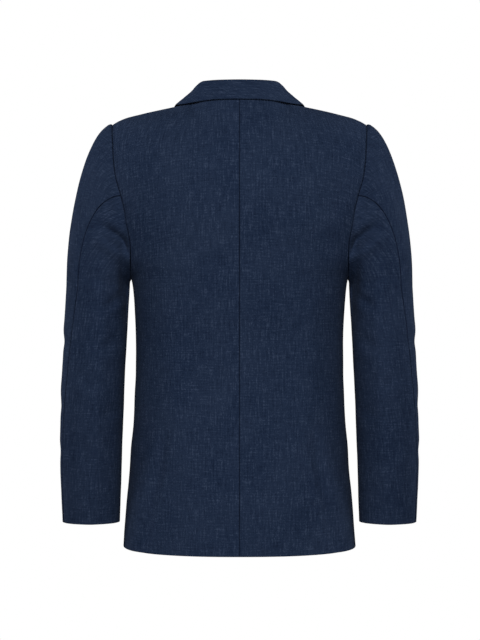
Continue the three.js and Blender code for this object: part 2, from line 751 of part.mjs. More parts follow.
function collarSection(over, along) {
  const start = collarStart(along);
  const edge = collarEdgeAt(along);
  const fold = collarFoldAt(along);
  const chord = edge.clone().sub(start);
  const up = fold.clone().addScaledVector(start, -0.5).addScaledVector(edge, -0.5).normalize();
  const across = chord.addScaledVector(up, -chord.dot(up)).normalize();
  const centre = fold.clone().addScaledVector(up, -FOLD_RADIUS);
  const foldPoint = (turn) => centre.clone()
    .addScaledVector(across, -FOLD_RADIUS * Math.cos(turn))
    .addScaledVector(up, FOLD_RADIUS * Math.sin(turn));
  if (over < STAND_SHARE) return start.lerp(foldPoint(0), over / STAND_SHARE);
  if (over < FOLD_SHARE) {
    return foldPoint(Math.PI * (over - STAND_SHARE) / (FOLD_SHARE - STAND_SHARE));
  }
  const leafStart = foldPoint(Math.PI);
  const out = up.clone().addScaledVector(across, LEAF_LEAN).normalize();
  const middle = leafStart.clone().add(edge).multiplyScalar(0.5)
    .addScaledVector(out, 2 * collarSwellAt(along));
  const curve = new THREE.QuadraticBezierCurve3(leafStart, middle, edge);
  return curve.getPoint((over - FOLD_SHARE) / (1 - FOLD_SHARE));
}

// Lapel: the front turned back over its roll line. Up runs from the break (0) to the
// gorge (1), over from the inside of the roll (0) to the lapel's edge (1).
const LAPEL_EDGE = [
  { z: -335, x: -11 },
  { z: -300, x: 11 },
  { z: -250, x: 37 },
  { z: -180, x: 73 },
  { z: -120, x: 102 },
  { z: -82, x: 122 },
];
const lapelEdgeAt = smooth(LAPEL_EDGE, 'z', 'x');
const LAPEL_POINT_Z = -82;
const NOTCH_SHARE = 0.41;
const NOTCH_SAG = 10.3;
const NOTCH_SAG_POWER = 4;
const ROLL_SHARE = 0.25;
const ROLL_LEAD = 0.8;
const ROLL_ROOM = 2;
const BREAK_ROOM = 0.6;
const ROOM_FULL_UP = 0.3;
const LAPEL_SETTLE = 0.4;
const LAPEL_REST = 0.6;

// Where the right lapel passes under the left one, it lies flat and stays clear of it
const CROSSING_CLEARANCE = 4.5;

function lapelPoint(over, up, isUnder) {
  const z0 = lerp(BREAK.z, frontPoint(0, GORGE_RISE).z, up);
  const z1 = lerp(BREAK.z, LAPEL_POINT_Z, up);
  const isCovered = isUnder && rollX(z0) < CROSSING_CLEARANCE;
  const x0 = isCovered ? CROSSING_CLEARANCE - rollX(z0) : rollX(z0);
  const panel = isUnder ? underFrontPoint : frontPoint;
  const room = lerp(BREAK_ROOM, ROLL_ROOM, THREE.MathUtils.smoothstep(up, 0, ROOM_FULL_UP));
  const radius = WALL + room / 2;
  const rollTop = WALL + room;
  if (over < ROLL_SHARE && !isCovered) {
    const { here, out } = onPanel(panel, 1, x0, z0);
    const along = vec(rollX(z0 + 1) - x0, 0, 1);
    const leaving = along.cross(out).normalize().negate();
    if (leaving.x > 0) leaving.negate();
    const turn = Math.PI * (over / ROLL_SHARE);
    return here
      .addScaledVector(out, rollTop - radius - radius * Math.cos(turn))
      .addScaledVector(leaving, SEAM_GAP + ROLL_LEAD + radius * Math.sin(turn));
  }
  const t = isCovered ? over : (over - ROLL_SHARE) / (1 - ROLL_SHARE);
  const sag = NOTCH_SAG * up ** NOTCH_SAG_POWER
    * (t < NOTCH_SHARE ? t / NOTCH_SHARE : (1 - t) / (1 - NOTCH_SHARE));
  const x = lerp(x0, lapelEdgeAt(z1), t);
  const { here, out } = onPanel(panel, 1, x, lerp(z0, z1, t) - sag);
  const settled = THREE.MathUtils.smoothstep(t, 0, LAPEL_SETTLE);
  const height = isCovered ? LAPEL_REST : lerp(room, LAPEL_REST, settled);
  return here.addScaledVector(out, WALL + height);
}

const ROLL_OVER = [0, 0.05, 0.1, 0.1375, 0.175, 0.2125, 0.25];
const GORGE_OVER = [0.36, 0.46, lerp(ROLL_SHARE, 1, NOTCH_SHARE)];
const LAPEL_OVER = [...ROLL_OVER, ...GORGE_OVER, 0.7, 0.85, 1];
const LAPEL_UP = [0.02, 0.08, 0.16, 0.24, 0.32, 0.4, 0.48, 0.56, 0.64, 0.72, 0.79, 0.86, 0.93, 1];
const UNDER_LAPEL_UP = [0.17, 0.2, 0.235, 0.262, 0.3, 0.34, ...LAPEL_UP.slice(5)];
const LAPEL_TRIM = { u0: 0, u1: 0, v0: 0, v1: SEAM_GAP };

addCloth('lapel_left', wallGeometry(panelGrid({
  us: LAPEL_OVER,
  vs: LAPEL_UP,
  point: (over, up) => lapelPoint(over, up, false),
  trim: LAPEL_TRIM,
  facing: 1,
})));
addCloth('lapel_right', mirrored(wallGeometry(panelGrid({
  us: LAPEL_OVER,
  vs: UNDER_LAPEL_UP,
  point: (over, up) => lapelPoint(over, up, true),
  trim: LAPEL_TRIM,
  facing: 1,
}))));

// Collar: over runs from the neck seam (0) to the leaf's edge (1). Its end takes on the
// form of the lapel's top, so that the gorge seam closes.
const GORGE_BLEND_START = 1.75;
const GORGE_STRETCH = 0.12;

function collarPoint(over, signedAlong) {
  const along = Math.abs(signedAlong);
  const point = collarSection(over, along);
  const blend = THREE.MathUtils.smoothstep(along, GORGE_BLEND_START, 2);
  if (blend > 0) {
    const lapelOver = over < FOLD_SHARE
      ? lerp(0, ROLL_SHARE, over / FOLD_SHARE)
      : lerp(ROLL_SHARE, GORGE_OVER[2], (over - FOLD_SHARE) / (1 - FOLD_SHARE));
    const up = 1 + (2 - along) * GORGE_STRETCH;
    point.lerp(lapelPoint(lapelOver, up, signedAlong < 0), blend);
  }
  if (signedAlong < 0) point.x *= -1;
  return point;
}

const COLLAR_OVER = [...ROLL_OVER, ...GORGE_OVER].map((over) => (over <= ROLL_SHARE
  ? FOLD_SHARE * (over / ROLL_SHARE)
  : lerp(FOLD_SHARE, 1, (over - ROLL_SHARE) / (GORGE_OVER[2] - ROLL_SHARE))));
const COLLAR_BACK_ALONG = NECK_SHARES.slice(1)
  .map((share) => backPoint(share * NECK_ACROSS, 1).x / NECK_YOKE);
const COLLAR_FRONT_ALONG = [1.1, 1.198, 1.3, 1.397, 1.5, 1.611, 1.75, 1.84, 1.92, 2];
const HALF_COLLAR_ALONG = [...COLLAR_BACK_ALONG, ...COLLAR_FRONT_ALONG];
const COLLAR_ALONG = [...HALF_COLLAR_ALONG.map((t) => -t).reverse(), 0, ...HALF_COLLAR_ALONG];

addCloth('collar', wallGeometry(panelGrid({
  us: COLLAR_OVER,
  vs: COLLAR_ALONG,
  point: collarPoint,
  trim: { u0: 0, u1: 0, v0: SEAM_GAP, v1: SEAM_GAP },
  facing: 1,
})));

// Buttons on the centre front
const BUTTON_RADIUS = 10;
const BUTTON_HEIGHT = 2.6;
const BUTTON_BEVEL = 0.5;
const BUTTON_HOLE_RADIUS = 0.9;
const BUTTON_HOLE_SPREAD = 1.9;
const BUTTONS = [
  { name: 'button_upper', z: -348 },
  { name: 'button_lower', z: -448 },
];

function buttonGeometry() {
  const face = new THREE.Shape().absarc(0, 0, BUTTON_RADIUS - BUTTON_BEVEL, 0, 2 * Math.PI);
  [[1, 1], [-1, 1], [-1, -1], [1, -1]].forEach(([sideX, sideY]) => {
    const hole = new THREE.Path();
    hole.absarc(
      sideX * BUTTON_HOLE_SPREAD,
      sideY * BUTTON_HOLE_SPREAD,
      BUTTON_HOLE_RADIUS + BUTTON_BEVEL,
      0,
      2 * Math.PI,
      true,
    );
    face.holes.push(hole);
  });
  return new THREE.ExtrudeGeometry(face, {
    depth: BUTTON_HEIGHT - 2 * BUTTON_BEVEL,
    bevelThickness: BUTTON_BEVEL,
    bevelSize: BUTTON_BEVEL,
    bevelSegments: 1,
    curveSegments: 5,
  }).translate(0, 0, BUTTON_BEVEL);
}

BUTTONS.forEach(({ name, z }) => {
  const across = solve((u) => frontPoint(u, levelOf(z, FRONT_YOKE_Z)).x, 0, 0, 1);
  const level = levelOf(z, FRONT_YOKE_Z);
  const out = surfaceNormal(frontPoint, across, level);
  const button = new THREE.Mesh(buttonGeometry(), buttonMaterial());
  button.name = name;
  button.position.copy(frontPoint(across, level)).addScaledVector(out, REST_GAP);
  button.quaternion.setFromUnitVectors(vec(0, 0, 1), out);
  blazer.add(button);
});

export default blazer;
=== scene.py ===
"""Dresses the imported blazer: thin cloth shells with folds, seams and weave, buttons, studio.

Metres in Blender, millimetres in the tables. +Z is up, the back faces +Y, the front
faces -Y and the wearer's left is +X, as in the part.
"""

import logging
import math
from collections.abc import Callable, Sequence
from dataclasses import dataclass, replace
from enum import Enum

import bpy
import numpy as np
from mathutils import Matrix, Vector


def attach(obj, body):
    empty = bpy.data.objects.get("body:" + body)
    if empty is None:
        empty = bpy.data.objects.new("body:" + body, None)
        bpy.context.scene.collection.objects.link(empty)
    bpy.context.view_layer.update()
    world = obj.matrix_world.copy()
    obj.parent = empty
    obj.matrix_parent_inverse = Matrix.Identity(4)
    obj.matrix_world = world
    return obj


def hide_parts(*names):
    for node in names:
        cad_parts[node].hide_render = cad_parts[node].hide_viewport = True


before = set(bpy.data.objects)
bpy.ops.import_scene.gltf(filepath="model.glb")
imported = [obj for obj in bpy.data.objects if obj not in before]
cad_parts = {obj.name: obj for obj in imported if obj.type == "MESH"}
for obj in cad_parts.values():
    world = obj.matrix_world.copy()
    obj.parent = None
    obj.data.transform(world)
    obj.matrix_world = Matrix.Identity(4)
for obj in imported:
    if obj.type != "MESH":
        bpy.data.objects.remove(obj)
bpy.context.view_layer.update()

Array = np.ndarray
Surface = Callable[[Array, Array], Array]
Table = tuple[tuple[float, ...], ...]
Span = tuple[float, float]
Triple = tuple[float, float, float]
Colour = tuple[float, float, float, float]
Socket = bpy.types.NodeSocket

log = logging.getLogger("blazer")

MM = 0.001
BODY = "root"
UV_MAP = "cloth"
WHITE = (1, 1, 1, 1)
MIRROR = np.array([-1, 1, 1])
STEP = 1e-4
HALVINGS = 34
WALL = 1.8
SEAM_GAP = 0.3
REST_GAP = 0.35
# Sewn edges meet in the dress, where the part keeps them a little apart
SEWN = 0.0
GORGE_GAP = 0.1
# How far below the lapel's break, and how far down the front, places are looked up
BELOW_BREAK = 40
LOWEST_BUTTON_Z = -480
# Fine noises of the small finishes: their detail and the span that shows
FINE_DETAIL = 2
FINE_SPAN = (0.2, 0.8)


class Side(Enum):
    """The wearer's left lies at +X, the right at -X."""

    LEFT = 1
    RIGHT = -1

    @property
    def word(self) -> str:
        """Name ending of the pieces on this side."""
        return self.name.lower()


class Edge(Enum):
    """How the cloth ends along one edge of a piece."""

    SEAM = "seam"
    FOLD = "fold"


class Grain(Enum):
    """Where the yarns' places on a piece are measured from."""

    EDGE = "edge"
    MIDDLE = "middle"
    CENTRE = "centre"


class View(Enum):
    """Direction that a crease is drawn from: its two plan axes and the way it faces."""

    BACK = (0, 2, (0.0, 1.0, 0.0))
    FRONT = (0, 2, (0.0, -1.0, 0.0))
    LEFT = (1, 2, (1.0, 0.0, 0.0))
    RIGHT = (1, 2, (-1.0, 0.0, 0.0))


# A panel's edges: start and end across, then start and end along
HEM_OPEN = (Edge.SEAM, Edge.SEAM, Edge.FOLD, Edge.SEAM)
ROLLED = (Edge.SEAM, Edge.FOLD, Edge.FOLD, Edge.FOLD)
ALL_FOLDED = (Edge.FOLD, Edge.FOLD, Edge.FOLD, Edge.FOLD)
EVEN_TRIMS = (SEWN, SEWN, SEWN, SEWN)


# Curves and vectors


def smoothstep(value: Array, low: float, high: float) -> Array:
    """Eased share of the way from low to high."""
    t = np.clip((value - low) / (high - low), 0, 1)
    return t * t * (3 - 2 * t)


def lerp(start: Array, end: Array, t: Array) -> Array:
    """Straight mix of two values."""
    return start + (end - start) * t


def matched(first: Array, second: Array) -> tuple[Array, Array]:
    """Two sets of numbers brought to one shape."""
    return np.broadcast_arrays(np.asarray(first, float), np.asarray(second, float))


def hermite(start: Array, leaving: Array, end: Array, landing: Array, t: Array) -> Array:
    """Smooth way from a start to an end that leaves and lands along given slopes."""
    t2, t3 = t * t, t * t * t
    from_start = start * (2 * t3 - 3 * t2 + 1) + leaving * (t3 - 2 * t2 + t)
    return from_start + end * (3 * t2 - 2 * t3) + landing * (t3 - t2)


def runs(stops: Sequence[float], counts: Sequence[int]) -> Array:
    """Evenly spaced values from each stop to the next, with each stop once."""
    parts = [np.linspace(low, high, count) for low, high, count in zip(stops, stops[1:], counts)]
    return np.concatenate([parts[0], *(part[1:] for part in parts[1:])])


def lengths(vectors: Array) -> Array:
    """Length of each vector, kept as a last axis of one."""
    return np.linalg.norm(vectors, axis=-1, keepdims=True)


def unit(vectors: Array) -> Array:
    """Vectors brought to length one."""
    return vectors / np.maximum(lengths(vectors), 1e-12)


def dots(first: Array, second: Array) -> Array:
    """Scalar products, kept as a last axis of one."""
    return (first * second).sum(axis=-1, keepdims=True)


def points_of(x: Array, y: Array, z: Array) -> Array:
    """Points from their three coordinates."""
    return np.stack(np.broadcast_arrays(x, y, z), axis=-1).astype(float)


def signed_power(value: Array, power: float) -> Array:
    """Power that keeps the sign."""
    return np.sign(value) * np.abs(value) ** power


def solve(rising: Callable[[Array], Array], target: Array, low: float, high: float) -> Array:
    """Value at which a rising function reaches a target.

    Args:
        rising: The function, over arrays.
        target: What it has to reach, one value a point.
        low: Lowest value tried.
        high: Highest value tried.

    Returns:
        The values found by halving.
    """
    from_value = np.full(np.shape(target), float(low))
    to_value = np.full(np.shape(target), float(high))
    for _ in range(HALVINGS):
        middle = (from_value + to_value) / 2
        is_low = rising(middle) < target
        from_value = np.where(is_low, middle, from_value)
        to_value = np.where(is_low, to_value, middle)
    return (from_value + to_value) / 2


class Curve:
    """Smooth curve through two columns of a table that never overshoots its rows."""

    def __init__(self, table: Table, column: int) -> None:
        """Keeps the rows in order and finds their slopes.

        Args:
            table: Rows of numbers; the curve runs along the first column.
            column: Column that it gives.
        """
        rows = np.array(sorted(table, key=lambda row: row[0]), float)
        self.xs, self.ys = rows[:, 0], rows[:, column]
        slopes = np.diff(self.ys) / np.diff(self.xs)
        before, after = slopes[:-1], slopes[1:]
        mixed = np.where(before * after <= 0, 1.0, before + after)
        middle = np.where(before * after <= 0, 0.0, 2 * before * after / mixed)
        self.tangents = np.concatenate([slopes[:1], middle, slopes[-1:]])

    def __call__(self, x: Array) -> Array:
        """Value of the curve at each x, straight on past the ends."""
        xs, ys, tangents = self.xs, self.ys, self.tangents
        x = np.asarray(x, float)
        i = np.clip(np.searchsorted(xs, x, side="left") - 1, 0, len(xs) - 2)
        span = xs[i + 1] - xs[i]
        t = np.clip((x - xs[i]) / span, 0, 1)
        inside = hermite(ys[i], span * tangents[i], ys[i + 1], span * tangents[i + 1], t)
        past = np.minimum(x - xs[0], 0) * tangents[0] + np.maximum(x - xs[-1], 0) * tangents[-1]
        return inside + past


def curves_of(table: Table) -> list[Curve]:
    """A curve for each column of a table past the first."""
    return [Curve(table, column) for column in range(1, len(table[0]))]


def normals_of(surface: Surface, u: Array, v: Array) -> Array:
    """Unit normals of a surface by small steps, across turned into along.

    Args:
        surface: The point function.
        u: Values across.
        v: Values along.

    Returns:
        One unit vector a point.
    """
    across = surface(u + STEP, v) - surface(u - STEP, v)
    along = surface(u, v + STEP) - surface(u, v - STEP)
    return unit(np.cross(across, along))


# Forms that the cloth follows


@dataclass
class BodyForm:
    """The body of the blazer as rounds at each height, and its yokes over the shoulders."""

    hem_z: float = -680
    underarm_z: float = -248
    back_yoke_z: float = -60
    front_yoke_z: float = -100
    back_round: float = 2.35
    front_round: float = 2.2
    yoke_fullness: float = 1.08
    neck_yoke: float = 83
    shoulder_yoke: float = 200.5
    back_seam_depth: float = 22
    side_turn_z: float = -285
    break_x: float = -18
    break_z: float = -335
    lap_start_x: float = 60
    lap_full_x: float = 24
    lap_depth: float = WALL + 0.45
    # height, half width, depth of the back, depth of the front
    sections: Table = (
        (-680, 187.5, 132, 150),
        (-640, 184.7, 129.5, 148),
        (-600, 181.5, 127, 146),
        (-560, 177.4, 122, 143),
        (-520, 175, 117, 140),
        (-478, 171, 111, 136.5),
        (-440, 169.5, 106, 133),
        (-400, 167.8, 102.5, 130.5),
        (-350, 167.7, 101.5, 129),
        (-300, 169.5, 107, 130),
        (-267, 172.2, 110, 132),
        (-248, 175.5, 111.5, 133.5),
        (-235, 183.5, 112.2, 134.5),
        (-219, 194, 113, 135.5),
        (-190, 205, 115.5, 135.5),
        (-153, 212.5, 119, 133.5),
        (-120, 215, 119.5, 129),
        (-93, 217, 118, 121),
        (-60, 215, 110, 104),
    )
    # height, depth of the armhole's edge behind the shoulder line
    armhole_back: Table = (
        (-246, 22),
        (-243, 30),
        (-235, 46),
        (-219, 62),
        (-190, 72),
        (-153, 74),
        (-120, 69.5),
        (-93, 62),
        (-60, 49.2),
    )
    # height, depth of the armhole's edge before the shoulder line
    armhole_front: Table = (
        (-231, 58),
        (-219, 70),
        (-200, 81),
        (-160, 84),
        (-125, 79),
        (-100, 72),
    )
    # share from the back seam to the front seam, height of the side body's top
    armhole_floor: Table = ((0, -246), (0.3, -248.5), (0.6, -246.5), (0.85, -238), (1, -231))
    # height, depth of the side body's front seam before the shoulder line
    front_seam: Table = (
        (-680, 96),
        (-600, 92),
        (-440, 84),
        (-370, 80),
        (-300, 71),
        (-262, 63),
        (-231, 58),
    )
    # height, place of the front edge to the side of the centre
    front_edge: Table = (
        (-680, 88),
        (-676, 70),
        (-667, 51),
        (-650, 31),
        (-620, 12),
        (-570, -5),
        (-520, -14),
        (-470, -18),
        (-335, -18),
    )
    # column at the yoke, then x, y, z and the cloth's slope at the neck seam
    back_neck: Table = (
        (-29, -30, 63, 41.8, 61),
        (0, 0, 66, 42, 62),
        (29, 30, 63, 41.8, 61),
        (53, 55, 53, 40.5, 54),
        (69, 72, 35, 37.5, 36),
        (77, 79.8, 21, 35.3, 14),
        (83, 82, 8, 33.5, -6),
    )
    # the same along the shoulder ridge
    ridge: Table = (
        (83, 82, 8, 33.5, -6),
        (102, 104, 6, 27.9, 0),
        (118, 121, 5, 24.3, 0),
        (139, 142, 3, 19.9, 0),
        (159.5, 163, 2, 15.2, 0),
        (177, 181, 1, 11, 0),
        (190.7, 195, 0, 5.6, 0),
        (200.5, 205, 0, 0, 0),
    )

    def __post_init__(self) -> None:
        """Turns the tables into curves."""
        self.half_width_at, self.back_depth_at, self.front_depth_at = curves_of(self.sections)
        self.armhole_back_at = Curve(self.armhole_back, 1)
        self.armhole_front_at = Curve(self.armhole_front, 1)
        self.armhole_floor_at = Curve(self.armhole_floor, 1)
        self.front_seam_at = Curve(self.front_seam, 1)
        self.front_edge_at = Curve(self.front_edge, 1)
        self.neck_at = curves_of(self.back_neck)
        self.ridge_at = curves_of(self.ridge)

    def round_point(self, angle: Array, z: Array) -> Array:
        """Point of the round at an angle from the centre back (0) to the centre front."""
        sine, cosine = np.sin(angle), np.cos(angle)
        is_back = cosine > 0
        power = np.where(is_back, 2 / self.back_round, 2 / self.front_round)
        depth = np.where(is_back, self.back_depth_at(z), self.front_depth_at(z))
        return points_of(
            self.half_width_at(z) * signed_power(sine, power),
            depth * signed_power(cosine, power),
            z,
        )

    def back_angle(self, depth: Array, z: Array) -> Array:
        """Angle at which the back lies that far behind the shoulder line."""
        return np.arccos((depth / self.back_depth_at(z)) ** (self.back_round / 2))

    def front_angle(self, depth: Array, z: Array) -> Array:
        """Angle at which the front lies that far before the shoulder line."""
        return math.pi - np.arccos((depth / self.front_depth_at(z)) ** (self.front_round / 2))

    def front_angle_of_x(self, x: Array, z: Array) -> Array:
        """Angle at which the front has that x."""
        sine = signed_power(x / self.half_width_at(z), self.front_round / 2)
        return math.pi - np.arcsin(sine)

    def top_edge(self, yoke: Array) -> tuple[Array, Array]:
        """Place of the top edge at a column of the yoke, and the cloth's slope in radians."""
        on_neck = np.asarray(yoke) < self.neck_yoke
        x, y, z, pitch = (
            np.where(on_neck, neck(yoke), ridge(yoke))
            for neck, ridge in zip(self.neck_at, self.ridge_at)
        )
        return points_of(x, y, z), np.radians(pitch)

    def yoke_point(
        self,
        level_point: Callable[[Array], Array],
        yoke_z: float,
        yoke: Array,
        towards: int,
        rise: Array,
    ) -> Array:
        """Point of a column that rises from a level section over to the top edge.

        Args:
            level_point: Point of the column at a height.
            yoke_z: Height at which the yoke starts.
            yoke: Column of the top edge that it reaches.
            towards: 1 if it rises towards the back, -1 towards the front.
            rise: Share of the way up.

        Returns:
            The points.
        """
        height = np.full(np.shape(yoke), float(yoke_z))
        start = level_point(height)
        end, pitch = self.top_edge(yoke)
        reach = lengths(end - start) * self.yoke_fullness
        tangent = start - level_point(height - 1)
        tangent[..., 0] = 0
        tangent = unit(tangent) * reach
        end_tangent = points_of(0, np.cos(pitch), -np.sin(pitch)) * (towards * reach)
        point = hermite(start, tangent, end, end_tangent, rise[..., None])
        climbed = (point[..., 2] - start[..., 2]) / (end[..., 2] - start[..., 2])
        point[..., 0] = lerp(start[..., 0], end[..., 0], climbed)
        return point

    def back_point(self, across: Array, level: Array) -> Array:
        """Back: across from the centre seam (0) to the side (1), level 0 hem, 1 yoke, 2 top."""
        across, level = matched(across, level)
        low_z = self.armhole_back[0][0]

        def level_point(z: Array) -> Array:
            """Point of this column at a height."""
            depth = np.where(z <= low_z, self.back_seam_depth, self.armhole_back_at(z))
            return self.round_point(across * self.back_angle(depth, z), z)

        below = level_point(lerp(self.hem_z, self.back_yoke_z, np.minimum(level, 1)))
        yoke = level_point(np.full(across.shape, float(self.back_yoke_z)))[..., 0]
        above = self.yoke_point(level_point, self.back_yoke_z, yoke, -1, level - 1)
        return np.where((level <= 1)[..., None], below, above)

    def back_across(self, yoke: Array) -> Array:
        """Column of the back whose yoke lies at a given x."""
        yoke = np.asarray(yoke, float)
        return solve(lambda u: self.back_point(u, np.ones(u.shape))[..., 0], yoke, 0, 1)

    def roll_x(self, z: Array) -> Array:
        """Roll line of the lapel, straight from the break to the neck end of the shoulder."""
        _, neck_x, _, neck_z, _ = self.ridge[0]
        return lerp(self.break_x, neck_x, (z - self.break_z) / (neck_z - self.break_z))

    def front_level_point(self, across: Array, z: Array) -> Array:
        """Front below its yoke: across from the front edge (0) to the side (1)."""
        low_z = self.armhole_front[0][0]
        depth = np.where(z <= low_z, self.front_seam_at(z), self.armhole_front_at(z))
        inner_x = np.where(z <= self.break_z, self.front_edge_at(z), self.roll_x(z))
        inner = self.front_angle_of_x(inner_x, z)
        outer = self.front_angle(depth, z)
        return self.round_point(lerp(inner, outer, across), z)

    def front_point(self, across: Array, level: Array) -> Array:
        """Front: across from the front edge (0) to the side (1), level 0 hem, 1 yoke, 2 top."""
        across, level = matched(across, level)
        yoke_z = self.front_yoke_z
        below = self.front_level_point(across, lerp(self.hem_z, yoke_z, np.minimum(level, 1)))
        height = np.full(across.shape, float(yoke_z))
        inner_x, outer_x = self.front_level_point(np.array([0.0, 1.0]), height.flat[0])[:, 0]
        share = (self.front_level_point(across, height)[..., 0] - inner_x) / (outer_x - inner_x)
        yoke = lerp(self.neck_yoke, self.shoulder_yoke, share)
        above = self.yoke_point(
            lambda z: self.front_level_point(across, z), yoke_z, yoke, 1, level - 1
        )
        return np.where((level <= 1)[..., None], below, above)

    def under_front_point(self, across: Array, level: Array) -> Array:
        """The front that lies under: it sinks where the other one laps over it."""
        point = self.front_point(across, level)
        point[..., 1] += self.lap_depth * (
            1 - smoothstep(point[..., 0], self.lap_full_x, self.lap_start_x)
        )
        return point

    def side_point(self, across: Array, up: Array) -> Array:
        """Side body: across from the back seam (0) to the front seam (1), up to the armhole."""
        turn = (self.side_turn_z - self.hem_z) / (self.underarm_z - self.hem_z)
        low = lerp(self.hem_z, self.side_turn_z, up / turn)
        high = lerp(self.side_turn_z, self.armhole_floor_at(across), (up - turn) / (1 - turn))
        z = np.where(up <= turn, low, high)
        back = self.back_angle(self.back_seam_depth, z)
        front = self.front_angle(self.front_seam_at(z), z)
        return self.round_point(lerp(back, front, across), z)

    def level_of(self, z: float, yoke_z: float) -> float:
        """Level of a height below a yoke."""
        return (z - self.hem_z) / (yoke_z - self.hem_z)


class PanelMap:
    """Finds the place on a panel's surface that lies behind given x and z."""

    COLUMNS = 161
    LEVELS = 361
    HEIGHTS = 400
    LOWEST_LEVEL = 0.02

    def __init__(self, surface: Surface, facing: int, low_z: float) -> None:
        """Samples the surface.

        Args:
            surface: The panel's point function.
            facing: 1 or -1, which turns its normals outwards.
            low_z: Lowest height that is asked for.
        """
        self.surface = surface
        self.facing = facing
        self.across = np.linspace(0, 1, self.COLUMNS)
        levels = np.linspace(self.LOWEST_LEVEL, 2, self.LEVELS)
        grid = surface(*np.meshgrid(self.across, levels))
        self.zs = np.linspace(low_z, grid[..., 2].max(), self.HEIGHTS)
        columns = range(len(self.across))
        self.levels = np.stack([np.interp(self.zs, grid[:, k, 2], levels) for k in columns], 1)
        self.xs = np.stack([np.interp(self.zs, grid[:, k, 2], grid[:, k, 0]) for k in columns], 1)

    def find(self, x: Array, z: Array) -> tuple[Array, Array]:
        """Point of the panel at x and z, and its outward normal.

        Args:
            x: Places to the side.
            z: Heights.

        Returns:
            The points and the unit normals.
        """
        shape = np.shape(x)
        x, z = np.ravel(x), np.ravel(z)
        # A place on the last row is read just inside it
        place = np.clip((z - self.zs[0]) / (self.zs[1] - self.zs[0]), 0, self.HEIGHTS - 1.001)
        row = place.astype(int)
        share = (place - row)[:, None]
        xs = lerp(self.xs[row], self.xs[row + 1], share)
        levels = lerp(self.levels[row], self.levels[row + 1], share)
        k = np.clip((xs < x[:, None]).sum(axis=1) - 1, 0, len(self.across) - 2)
        every = np.arange(len(x))
        left, right = xs[every, k], xs[every, k + 1]
        t = np.clip((x - left) / (right - left), 0, 1)
        across = np.clip(lerp(self.across[k], self.across[k + 1], t), STEP, 1)
        level = lerp(levels[every, k], levels[every, k + 1], t)
        here = self.surface(across, level).reshape(*shape, 3)
        out = normals_of(self.surface, across, level).reshape(*shape, 3) * self.facing
        return here, out


